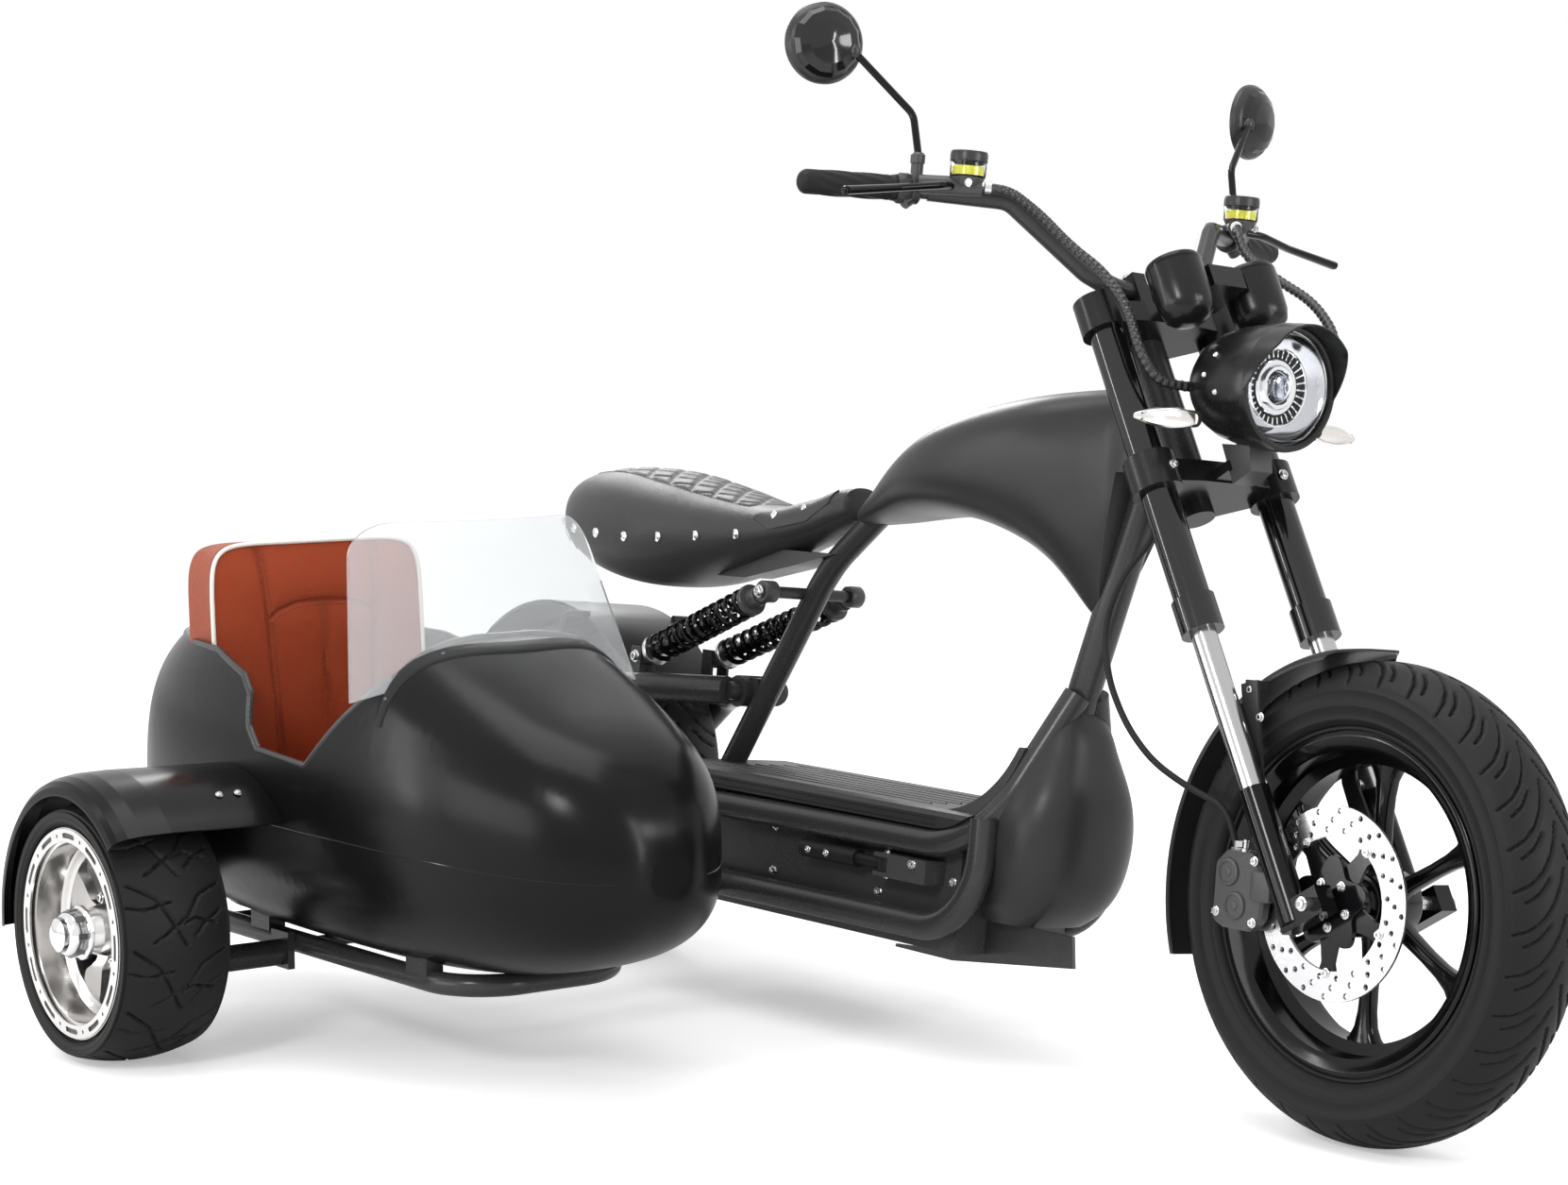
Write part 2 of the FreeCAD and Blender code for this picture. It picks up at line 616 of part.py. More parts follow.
def rear_frame():
    """The stay with its pivot hub, the cross shaft, and the swingarm with its shock mounts."""
    out = {}
    reach = SHOCK_TOP_Y + 14
    hub = STAY_HUB
    pieces = [rod((SHOCK_TOP_X, -reach, SHOCK_TOP_Z), (SHOCK_TOP_X, reach, SHOCK_TOP_Z), 8)]
    pieces.append(rod((PIVOT_X, -hub, PIVOT_Z), (PIVOT_X, hub, PIVOT_Z), 22))
    pieces.append(block(PIVOT_X, PIVOT_X + 30, -12, 12, PIVOT_Z - 20, PIVOT_Z + 20))
    pivot_hole = rod((PIVOT_X, -60, PIVOT_Z), (PIVOT_X, 60, PIVOT_Z), 13 + FIT)
    out["seat_stays"] = stays()[0].fuse(pieces).cut(pivot_hole)
    arms = swing_tubes()
    bridge = rod((SHOCK_LOW_X, -100, 398), (SHOCK_LOW_X, 100, 398), 14)
    pivot = rod((PIVOT_X, -42, PIVOT_Z), (PIVOT_X, 42, PIVOT_Z), 13)
    axle_hole = rod((-WHEELBASE, -170, REAR_R), (-WHEELBASE, 170, REAR_R), AXLE_R + RUN)
    lugs = []
    for s in (-1, 1):
        for side in (-1, 1):
            y = s * SHOCK_LOW_Y + side * 14
            lugs.append(block(SHOCK_LOW_X - 12, SHOCK_LOW_X + 12, y - 2, y + 2, 398, SHOCK_LOW_Z + 14))
        lugs.append(rod((SHOCK_LOW_X, s * SHOCK_LOW_Y - 16, SHOCK_LOW_Z),
                        (SHOCK_LOW_X, s * SHOCK_LOW_Y + 16, SHOCK_LOW_Z), 5))
    out["swingarm"] = arms[0].fuse(arms[1:] + [bridge, pivot] + lugs).cut(axle_hole)
    out["rear_shocks"] = Part.makeCompound([shock(-1), shock(1)])
    out["rear_axle"] = rod((-WHEELBASE, -154, REAR_R), (-WHEELBASE, 154, REAR_R), AXLE_R)
    return out


def shock(s):
    """One spring and damper unit, between the swingarm's lugs and the cross shaft."""
    low = V(SHOCK_LOW_X, s * SHOCK_LOW_Y, SHOCK_LOW_Z)
    high = V(SHOCK_TOP_X, s * SHOCK_TOP_Y, SHOCK_TOP_Z)
    step = unit(high - low)
    across = V(0, 1, 0)
    spring = rod(tuple(low + step * 30), tuple(high - step * 34), 22)
    parts = [rod(tuple(low), tuple(high), 9)]
    parts.append(rod(tuple(low - across * 11), tuple(low + across * 11), 12))
    parts.append(rod(tuple(high - across * 11), tuple(high + across * 11), 15))
    hole_low = rod(tuple(low - across * 20), tuple(low + across * 20), 5 + FIT)
    hole_high = rod(tuple(high - across * 20), tuple(high + across * 20), 8 + FIT)
    return spring.fuse(parts).cut([hole_low, hole_high])


def saddle():
    """The teardrop saddle and the bracket under it."""
    rings = [ring_section(x, w, lo, hi, 2.4) for x, w, lo, hi in
             ((-1566, 40, 608, 660), (-1548, 88, 582, 684), (-1500, 128, 550, 700), (-1420, 144, 533, 706),
              (-1330, 138, 538, 694), (-1230, 112, 566, 676), (-1130, 76, 596, 664), (-1060, 54, 616, 674),
              (-1010, 42, 636, 694), (-985, 30, 650, 698))]
    body = Part.makeLoft(rings, True, False)
    bracket = plate([(-1330, 606), (-1330, 560), (-1200, 562), (-1090, 586), (-1010, 606)], 48, 0).cut(stays(FIT))
    hollow = block(-1330 - FIT, -1010 + FIT, -24 - FIT, 24 + FIT, 500, 606 + FIT)
    return {"saddle": body.cut([hollow] + stays(FIT)), "saddle_bracket": bracket}


def arch(centre_x, centre_z, inner, outer, y0, y1, a0, a1):
    """A plain curved guard over a wheel, between two angles counted up from straight ahead."""
    face = Part.Face(Part.makePolygon([V(inner, y0, 0), V(outer, y0, 0), V(outer, y1, 0), V(inner, y1, 0),
                                       V(inner, y0, 0)]))
    body = face.revolve(V(0, 0, 0), V(0, -1, 0), a1 - a0)
    body.rotate(V(0, 0, 0), V(0, 1, 0), -a0)
    body.translate(V(centre_x, 0, centre_z))
    return body


def fenders():
    """The mudguards over the motorcycle's two wheels, with their brackets."""
    out = {}
    r = FRONT_R
    half = FENDER_HALF_W
    skin = [(r + 4, -half), (r + 9, -half + 3), (r + 12, -half + 10), (r + 13, -20), (r + 13, 20),
            (r + 12, half - 10), (r + 9, half - 3), (r + 4, half)]
    front = guard((0, 0, r), skin, 95, 200)
    for s in (-1, 1):
        corner = [V(-20, s * (half + 5), 400), V(-20, s * 22, 400), V(-36, s * 40, 400), V(-64, s * (half + 5), 400)]
        front = front.cut(Part.Face(Part.makePolygon(corner + corner[:1])).extrude(V(0, 0, 300)))
    for s in (-1, 1):
        arm = plate([(-165, 505), (-140, 512), (-118, 400), (-75, 335), (-100, 322), (-140, 395)], 4,
                    s * (FORK_Y - CASTING_R - 2 - FIT))
        edge = sorted((s * (half - 4), s * (FORK_Y - CASTING_R - FIT)))
        front = front.fuse([arm, block(-158, -142, edge[0], edge[1], 498, 511)])
    out["front_fender"] = front
    rear = arch(-WHEELBASE, REAR_R, REAR_R + 16, REAR_R + 20, -80, 80, 40, 150)
    for s in (-1, 1):
        rear = rear.fuse(tube([(-1500, s * SWING_Y, 325), (-1500, s * 118, 486), (-1500, s * 76, 486)], 5, 14))
    out["rear_fender"] = rear.cut(swing_tubes(FIT))
    return out


def front_caliper():
    """The brake caliper that grips the front disc behind the right fork leg."""
    body = block(-166, -86, DISC_Y - 24, DISC_Y + 13, 226, 316)
    slot = turned([(5, DISC_Y - 7), (DISC_R + 5, DISC_Y - 7), (DISC_R + 5, DISC_Y + 7), (5, DISC_Y + 7)],
                  0, 0, FRONT_R)
    lug = block(-100, -62, -FORK_Y - 5, -FORK_Y + 5, 262, 300)
    leg = on_fork(rod((0, -FORK_Y, -30), (0, -FORK_Y, 134), CASTING_R + FIT))
    return {"front_caliper": body.fuse(lug).cut([slot, leg])}


def rear_caliper():
    """The brake caliper over the rear disc, on its bracket round the axle."""
    x = -WHEELBASE
    y = REAR_DISC_Y
    z = REAR_R
    body = block(x + 66, x + 132, y - 19, y + 13, z - 50, z + 10)
    slot = turned([(5, y - 7), (DISC_R + 5, y - 7), (DISC_R + 5, y + 7), (5, y + 7)], x, 0, z)
    boss = rod((x, 20 + FIT - SWING_Y, z), (x, y - 12, z), 22)
    arm = block(x, x + 130, y - 19, y - 12, z - 18, z + 8)
    bore = rod((x, -160, z), (x, -60, z), AXLE_R + RUN)
    return {"rear_caliper": body.fuse([boss, arm]).cut([slot, bore])}


def bars():
    """The handlebar, its grips, controls, mirrors and instrument pods."""
    out = {}
    middle = BAR_MID
    halves = []
    for s in (-1, 1):
        halves.append(tube([middle, (middle[0], s * 66, middle[2]), (-474, s * 92, 978),
                            (-538, s * 170, 1058), (-600, s * 260, 1061), (-657, s * BAR_HALF, 1056)],
                           BAR_R, 34))
        halves.append(tube([middle, (middle[0], s * 66, middle[2]), (-474, s * 92, 978),
                            (-538, s * 170, 1058), (-594, s * 252, 1060.8)], SWEEP_R, 34))
    bar = halves[0].fuse(halves[1:])
    out["handlebar"] = bar
    grips = []
    for s in (-1, 1):
        start = V(-600, s * 260, 1061)
        end = V(-657, s * BAR_HALF, 1056)
        along = unit(end - start)
        grip = rod(tuple(start + along * 32), tuple(end + along * 6), GRIP_R)
        hole = rod(tuple(start), tuple(end + along * FIT), BAR_R + FIT)
        grips.append(grip.cut(hole))
        clamp = rod(tuple(start + along * 2), tuple(start + along * 31), 19)
        master = rod((-536, s * 216, 1068), (-586, s * 274, 1066), 12)
        tank = block(-570, -524, s * 231 - 21, s * 231 + 21, 1070, 1110)
        lever = rod((-566, s * 256, 1064), (-552, s * 414, 1040), 5)
        post = rod((-599, s * 268, 1066), (-599, s * 268, 1104), 9)
        swept = rod((-538, s * 170, 1058), (-600, s * 261, 1061.1), SWEEP_R + FIT)
        body = clamp.fuse([master, tank, lever, post]).cut(swept)
        name = "right" if s < 0 else "left"
        out["control_" + name] = body.cut(rod(tuple(start), tuple(end), BAR_R + FIT))
    out["grips"] = Part.makeCompound(grips)
    mirrors = []
    for s in (-1, 1):
        low = rod((-599.3, s * 268, 1105.6), (-612, s * 270, 1151), 5)
        knee = Part.makeSphere(5, V(-612, s * 270, 1151))
        arm = rod((-612, s * 270, 1151), (-654, s * 336, 1220), 5)
        out_axis = V(math.cos(math.radians(MIRROR_TURN)), s * math.sin(math.radians(MIRROR_TURN)), 0)
        centre = V(-684, s * 362, 1228)
        bowl = Part.makeCone(50, 34, 24, centre, out_axis)
        mirrors.append(bowl.fuse([low, knee, arm, rod((-654, s * 336, 1220), tuple(centre + out_axis * 10), 8)]))
    out["mirrors"] = Part.makeCompound(mirrors)
    pods = []
    for s in (-1, 1):
        pods.append(on_fork(rod((POD_AHEAD, s * (POD_Y + FIT), POD_T), (POD_AHEAD, s * (POD_Y + FIT), POD_T + 82),
                                POD_R)))
    out["instrument_pods"] = Part.makeCompound(pods)
    return out


def headlight():
    """The bullet headlamp, its lens, and the front turn signals."""
    out = {}
    profile = [(0, -130), (30, -126), (56, -100), (70, -60), (75, -20), (75, 8), (67.3, 8), (67.3, -4),
               (0, -4)]
    face = Part.Face(Part.makePolygon([V(x, 0, r) for r, x in profile + profile[:1]]))
    shell = face.revolve(V(0, 0, 0), V(1, 0, 0), 360)
    shell.translate(V(LAMP_X, 0, LAMP_Z))
    tongue = on_fork(block(18, 52, -22, 22, LOW_CLAMP_T + 10, LOW_CLAMP_T + 22))
    hood = rod((LAMP_X + 7, 0, LAMP_Z), (LAMP_X + 42, 0, LAMP_Z), 75)
    hood = hood.cut(rod((LAMP_X, 0, LAMP_Z), (LAMP_X + 50, 0, LAMP_Z), 71))
    under = plate([(LAMP_X + 9, LAMP_Z - 90), (LAMP_X + 9, LAMP_Z - 10), (LAMP_X + 43, LAMP_Z + 50),
                   (LAMP_X + 60, LAMP_Z + 50), (LAMP_X + 60, LAMP_Z - 90)], 200, 0)
    shell = shell.fuse(hood.cut(under))
    strap = plate([(-268, 735), (-240, 752), (-262, 790), (-300, 790)], 36, 0)
    out["headlight"] = shell.fuse(strap).cut(tongue)
    lens_face = Part.Face(Part.makePolygon([V(-3.7, 0, 0), V(-3.7, 0, 67), V(2, 0, 67), V(8, 0, 40), V(10, 0, 0),
                                            V(-3.7, 0, 0)]))
    lens = lens_face.revolve(V(0, 0, 0), V(1, 0, 0), 360)
    lens.translate(V(LAMP_X, 0, LAMP_Z))
    out["headlight_lens"] = lens
    signals = []
    for s in (-1, 1):
        stalk = rod((-345, s * 98, 806), (-262, s * 100, 806), 7)
        body = turned([(0, 0), (7, 4), (12, 20), (14, 44), (11, 72), (5, 86), (0, 90)], 0, 0, 0)
        body.rotate(V(0, 0, 0), V(0, 0, 1), 9)
        if s < 0:
            body = body.mirror(V(0, 0, 0), V(0, 1, 0))
        body.translate(V(-257, s * 94, 806))
        signals.append(stalk.fuse(body).cut(on_fork(rod((0, s * FORK_Y, 500), (0, s * FORK_Y, 760),
                                                        COVER_R + FIT))))
    out["turn_signals"] = Part.makeCompound(signals)
    return out


def cables():
    """The sleeved cables from both hand controls into the headlamp, and the front brake's hose."""
    shell = headlight()["headlight"]
    right = cable([(-534.5, -214.3, 1068), (-514, -190, 1066), (-494, -158, 1042), (-463, -130, 1005),
                   (-420, -114, 977), (-374, -112, 934), (-350, -110, 884), (-334, -92, 848), (-312, -34, 845)],
                  CABLE_R)
    left = cable([(-534.5, 214.3, 1068), (-516, 196, 1062), (-492, 190, 1030), (-440, 198, 1000),
                  (-378, 204, 972), (-326, 194, 930), (-300, 168, 884), (-302, 126, 852), (-312, 34, 845)],
                 CABLE_R)
    hose = cable([(-347.8, -60, 702.9), (-346, -64, 664), (-388, -72, 612), (-408, -74, 552), (-392, -76, 492),
                  (-350, -80, 440), (-296, -84, 402), (-232, -84, 378), (-170, -80, 362), (-150, -77, 316.1)],
                 HOSE_R)
    controls = bars()
    right = right.cut([shell, controls["control_right"]])
    left = left.cut([shell, controls["control_left"]])
    hose = hose.cut([front_caliper()["front_caliper"], clamps()["lower_clamp"]])
    return {"control_cables": Part.makeCompound([right, left]), "brake_hose": hose}


def tail_lamp():
    """The lamp at the tip of the rear mudguard."""
    a = math.radians(140)
    r = REAR_R + 20 + FIT
    x = -WHEELBASE + r * math.cos(a)
    z = REAR_R + r * math.sin(a)
    lamp = block(-14, 14, -45, 45, 0, 22)
    lamp.rotate(V(0, 0, 0), V(0, 1, 0), -50)
    lamp.translate(V(x, 0, z))
    guard = rod((-WHEELBASE, -120, REAR_R), (-WHEELBASE, 120, REAR_R), r)
    return {"tail_lamp": lamp.cut(guard)}


def side_stand():
    """The side stand, folded back along the left rail."""
    x, y, z = STAND_PIVOT
    leg = rod((x - 8, y, z), (x - STAND_LENGTH, y, z), 6.5)
    foot = block(x - STAND_LENGTH - 6, x - STAND_LENGTH + 2, y - 20, y + 20, z - 16, z + 16)
    foot.rotate(V(x, y, z), V(1, 0, 0), 16)
    body = along_stand(-7, 7, 13).fuse([leg, foot])
    return {"side_stand": body.cut(along_stand(-20, 20, 5))}


def egg(shrink):
    """The tub's outer form, drawn in by a wall."""
    middle = (TUB_X0 + TUB_X1) / 2
    half = (TUB_X1 - TUB_X0) / 2 - shrink
    rings = []
    for i in range(15):
        u = -math.cos(math.pi * (i + 0.25) / 14.5)
        power = TUB_TAIL if u < 0 else TUB_NOSE
        swell = (1 - abs(u) ** power) ** (1 / power)
        top = TUB_TOP - TUB_DIP * math.exp(-((u - 0.73) / 0.42) ** 2)
        mid = TUB_MID - TUB_DROOP * max(0.0, u) ** 2
        width = (TUB_HALF_W - shrink) * swell
        up = (top - TUB_MID - shrink) * swell
        down = (TUB_MID - TUB_LOW - shrink) * swell
        rings.append(two_part_ring(middle + u * half, width, mid - down, mid, mid + up))
    body = Part.makeLoft(rings, True, False)
    return body.cut(block(TUB_X0 - 50, TUB_X1 + 50, TUB_Y - 300, TUB_Y + 300, 0, TUB_FLAT + shrink))


def two_part_ring(x, half_w, low, mid, high, count=28):
    """A section of the tub, fuller above its widest line than below it."""
    pts = []
    for i in range(count):
        a = 2 * math.pi * i / count
        c = math.cos(a)
        s = math.sin(a)
        power = 3.0 if s > 0 else 2.5
        rise = high - mid if s > 0 else mid - low
        py = half_w * math.copysign(abs(c) ** (2 / power), c)
        pts.append(V(x, TUB_Y + py, mid + rise * math.copysign(abs(s) ** (2 / power), s)))
    curve = Part.BSplineCurve()
    curve.interpolate(pts, PeriodicFlag=True)
    return Part.Wire(curve.toShape())


def sidecar_tub():
    """The hollow egg-shaped tub with its cockpit cut open."""
    outline = [(TUB_X0 - 30, 800), (TUB_X0 - 30, 505), (-1350, 495), (-1256, 472), (-1228, 452), (-1218, 411),
               (-1190, 384), (-1070, 376), (-1004, 437), (COWL_X, 478), (COWL_X + 22, 500), (COWL_X + 30, 800)]
    return {"sidecar_tub": egg(0).cut(egg(TUB_WALL)).cut(plate(outline, 700, TUB_Y))}


def shield_ring(z):
    """One level of the windshield's curved and leaning strip."""
    x = COWL_X - 0.336 * (z - 476)
    half = TUB_HALF_W - 6 - 0.19 * (z - 476)

    def arc(off):
        ends = [V(x, TUB_Y - half - off, z), V(x, TUB_Y + half + off, z)]
        return Part.Arc(ends[0], V(x + SHIELD_BULGE + off, TUB_Y, z), ends[1])

    front = arc(SHIELD_T)
    back = arc(0)
    sides = [(front.EndPoint, back.EndPoint), (front.StartPoint, back.StartPoint)]
    edges = [front.toShape(), back.toShape()] + [Part.LineSegment(a, b).toShape() for a, b in sides]
    return Part.Wire(Part.__sortEdges__(edges))


def shield_outline(x):
    """The windshield's outline seen from ahead, its upper corners rounded."""
    def half(z):
        return TUB_HALF_W - 2 - 0.19 * (z - 476)

    low = 380
    top = SHIELD_TOP
    pts = [(x, TUB_Y - half(low), low), (x, TUB_Y - half(top), top), (x, TUB_Y + half(top), top),
           (x, TUB_Y + half(low), low)]
    path = corner_path(pts, SHIELD_CORNER)
    base = Part.LineSegment(V(*pts[-1]), V(*pts[0])).toShape()
    return Part.Face(Part.Wire(path.Edges + [base]))


def windshield():
    """The clear screen standing on the cowl."""
    strip = Part.makeLoft([shield_ring(400), shield_ring(SHIELD_TOP + 10)], True, True)
    front = shield_outline(COWL_X - 300).extrude(V(600, 0, 0))
    return {"windshield": strip.common(front).cut(egg(-FIT))}


def sidecar_inside():
    """The seat's back and base."""
    out = {}
    half = 163
    pts = [(SEAT_X, TUB_Y - half, 300), (SEAT_X, TUB_Y - half, SEAT_TOP), (SEAT_X, TUB_Y + half, SEAT_TOP),
           (SEAT_X, TUB_Y + half, 300)]
    path = corner_path(pts, 62)
    base = Part.LineSegment(V(*pts[-1]), V(*pts[0])).toShape()
    back = Part.Face(Part.Wire(path.Edges + [base])).extrude(V(SEAT_DEEP, 0, 0))
    back = back.makeFillet(20, back.Edges)
    back.rotate(V(SEAT_X, TUB_Y, 300), V(0, 1, 0), -SEAT_LEAN)
    wall = egg(-FIT).cut(egg(TUB_WALL + FIT)).common(block(TUB_X0, -1300, TUB_Y - 300, TUB_Y + 300, 100, 540))
    out["seat_back"] = back.cut([wall, block(TUB_X0, TUB_X1, TUB_Y - 300, TUB_Y + 300, 200, 300)])
    room = egg(TUB_WALL + FIT)
    out["seat_base"] = block(-1560, -1140, TUB_Y - half, TUB_Y + half, 100, 299.7).common(room)
    return out


def sidecar_frame():
    """The tube chassis under the tub, the struts to the motorcycle, and the wheel's axle arm."""
    out = {}
    z = SIDE_RAIL_Z
    r = SIDE_RAIL_R
    ahead = RAIL_AHEAD
    loop = tube([(-1560, RAIL_NEAR, z), (ahead, RAIL_NEAR, z), (ahead, RAIL_FAR, z), (-1560, RAIL_FAR, z)], r, 80)
    cross = [rod((x, RAIL_NEAR, z - 5), (x, RAIL_FAR, z - 5), 8) for x in (-1480, SIDE_X)]
    pads = [block(x - 24, x + 24, y - 12, y + 12, z + 6, z + 60).cut(egg(-FIT))
            for x in (-940, -1330) for y in (RAIL_NEAR, RAIL_FAR)]
    out["sidecar_frame"] = loop.fuse(cross + pads)
    low_y = -RAIL_Y + RAIL_LOW_Z * math.sin(math.radians(LEAN))
    high_y = -RAIL_Y + RAIL_HIGH_Z * math.sin(math.radians(LEAN))
    low_z = RAIL_LOW_Z + RAIL_Y * math.sin(math.radians(LEAN))
    high_z = RAIL_HIGH_Z + RAIL_Y * math.sin(math.radians(LEAN))
    struts = [rod((-1080, RAIL_FAR, z), (-1080, low_y, low_z), 13),
              rod((-1220, RAIL_FAR, z), (-1220, low_y, low_z), 13),
              rod((-1150, RAIL_FAR, z), (-1150, high_y, high_z), 11)]
    taken = [lean_over(piece) for piece in rail(-1, FIT)]
    taken.append(tube([(-1560, RAIL_FAR, z), (ahead, RAIL_FAR, z), (ahead, RAIL_NEAR, z)], r + FIT, 80))
    out["sidecar_struts"] = Part.makeCompound([strut.cut(taken) for strut in struts])
    low = z - 12
    near = rod((SIDE_X, RAIL_NEAR, z), (SIDE_X, -790, z), 40)
    arm = rod((SIDE_X, RAIL_NEAR - r - 6, low), (SIDE_X, -790, low), 17)
    plate_end = block(SIDE_X - 22, SIDE_X + 22, RAIL_NEAR - r - 10, RAIL_NEAR - r - FIT, low - 20, z + 16)
    arm = arm.common(near).fuse(plate_end)
    upright = block(SIDE_X - 20, SIDE_X + 20, -806, -786, low - 18, SIDE_R + 20)
    hole = rod((SIDE_X, -860, SIDE_R), (SIDE_X, -700, SIDE_R), AXLE_R + RUN)
    out["axle_arm"] = arm.fuse(upright).cut(hole)
    out["side_axle"] = rod((SIDE_X, SIDE_Y - 10, SIDE_R), (SIDE_X, -778, SIDE_R), AXLE_R)
    return out


def guard(centre, skin, a0, a1):
    """A curved guard of one thickness whose section is a chain of radius and offset pairs."""
    under = [(r - 3.0, w) for r, w in skin]
    chain = skin + under[::-1]
    face = Part.Face(Part.makePolygon([V(r, w, 0) for r, w in chain + chain[:1]]))
    body = face.revolve(V(0, 0, 0), V(0, -1, 0), a1 - a0)
    body.rotate(V(0, 0, 0), V(0, 1, 0), -a0)
    body.translate(V(*centre))
    return body


def side_fender():
    """The mudguard over the sidecar's wheel, crowned and flanged, carried across to the tub."""
    r = SIDE_R
    skin = [(r + 10, -77), (r + 18, -75.5), (r + 25, -70), (r + 30, -58), (r + 33, -38), (r + 34, 0), (r + 33, 40),
            (r + 30, 185)]
    body = guard((SIDE_X, SIDE_Y, r), skin, 44, 185)
    return {"side_fender": body.cut([egg(-FIT)])}


def lean_over(shape):
    """Tip a motorcycle piece to its left about the line where its tyres meet the ground."""
    out = shape.copy()
    out.rotate(V(0, 0, 0), V(1, 0, 0), -LEAN)
    out.translate(V(0, 0, LIFT))
    return out


def write(pieces, leaning):
    """Put the pieces in the shared frame and write one file for each."""
    for name, shape in pieces.items():
        out = lean_over(shape) if leaning else shape.copy()
        out.translate(V(-ORIGIN_X, -ORIGIN_Y, 0))
        out.exportStep("parts/%s.step" % name)


def main():
    """Build every piece and write it out."""
    os.makedirs("parts", exist_ok=True)
    leaning = {}
    for make in (front_wheel, rear_wheel, fork_legs, clamps, main_frame, tank_shell, front_shell, footboard,
                 foot_pegs, rear_frame, saddle, fenders, front_caliper, rear_caliper, bars, headlight,
                 cables, tail_lamp, side_stand):
        leaning.update(make())
    upright = {}
    for make in (sidecar_wheel, sidecar_tub, windshield, sidecar_inside, sidecar_frame, side_fender):
        upright.update(make())
    write(leaning, True)
    write(upright, False)


main()
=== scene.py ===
"""Looks of a low electric chopper with a small egg-shaped sidecar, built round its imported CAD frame."""

import logging
import math
from dataclasses import dataclass
from enum import Enum
from functools import cache
from typing import Callable, Sequence

import bmesh
import bpy
from bpy.types import Material, Mesh, Node, NodeSocket, NodeTree, Object
from mathutils import Matrix, Vector

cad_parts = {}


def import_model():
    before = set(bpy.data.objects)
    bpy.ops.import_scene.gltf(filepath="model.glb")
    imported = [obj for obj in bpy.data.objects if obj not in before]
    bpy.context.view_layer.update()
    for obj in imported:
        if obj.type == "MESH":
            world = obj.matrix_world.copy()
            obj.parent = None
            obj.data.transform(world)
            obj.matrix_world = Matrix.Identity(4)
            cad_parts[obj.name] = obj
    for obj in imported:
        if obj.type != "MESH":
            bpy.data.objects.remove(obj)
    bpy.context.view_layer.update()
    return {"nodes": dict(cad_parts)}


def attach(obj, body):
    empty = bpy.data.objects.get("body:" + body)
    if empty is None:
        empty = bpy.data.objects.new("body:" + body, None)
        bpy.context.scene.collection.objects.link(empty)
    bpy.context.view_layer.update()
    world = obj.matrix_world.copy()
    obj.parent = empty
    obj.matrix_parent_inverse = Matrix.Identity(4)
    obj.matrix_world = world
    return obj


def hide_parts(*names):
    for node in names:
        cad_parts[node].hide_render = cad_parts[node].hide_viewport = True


LOG = logging.getLogger("scene")
Pair = tuple[float, float]
Point = Sequence[float]
Mark = tuple[Point, Point, Point]
Paint = tuple[float, float, float]
Sockets = bpy.types.bpy_prop_collection

# The drawing frame is in millimetres: zero is on the ground under the front axle.
ORIGIN = Vector((-777.1, -220.5, 0.0))
LEAN = math.radians(6.0)
LIFT = 0.386
CAR = Matrix.Scale(0.001, 4) @ Matrix.Translation(-ORIGIN)
BIKE = CAR @ Matrix.Translation((0, 0, LIFT)) @ Matrix.Rotation(-LEAN, 4, "X")
QUARTER_TURN = Matrix.Rotation(math.radians(90), 4, "X")
FORE, LEFT, UP = (1, 0, 0), (0, 1, 0), (0, 0, 1)
FORK_X = -43.2
FORK_Y = 97.5
FRONT_R = 274.0
FORK = BIKE @ Matrix.Translation((FORK_X, 0, FRONT_R)) @ Matrix.Rotation(math.radians(-31.0), 4, "Y")
DUST = (0.30, 0.29, 0.27)
WELD = 2e-6


class Grain(Enum):
    """The kinds of fine relief that a finish can carry."""

    PAINT = "paint_peel"
    CAST = "cast_grain"
    BRUSHED = "brushed_lines"
    LEATHER = "leather_grain"
    RUBBER = "rubber_grain"
    BRAID = "braid_weave"


def add_node(tree: NodeTree, kind: str, inputs: dict | None = None, **settings) -> Node:
    """Add a node to a tree.

    Args:
        tree: The shader or geometry tree.
        kind: The node's type.
        inputs: For each input, by name or number, its value or the socket that feeds it.
        settings: The node's own options.

    Returns:
        The new node.
    """
    node = tree.nodes.new(kind)
    for key, value in settings.items():
        setattr(node, key, value)
    feed(tree, node, inputs or {})
    return node


def feed(tree: NodeTree, node: Node, inputs: dict) -> None:
    """Give a node's inputs their values, or link them from sockets.

    Args:
        tree: The node's tree.
        node: The node.
        inputs: For each input, by name or number, its value or its socket.
    """
    for key, value in inputs.items():
        if isinstance(value, NodeSocket):
            tree.links.new(value, node.inputs[key])
        else:
            node.inputs[key].default_value = value


def calculate(tree: NodeTree, operation: str, *values: NodeSocket | float) -> NodeSocket:
    """One arithmetic step on sockets or numbers."""
    return add_node(tree, "ShaderNodeMath", dict(enumerate(values)), operation=operation).outputs[0]


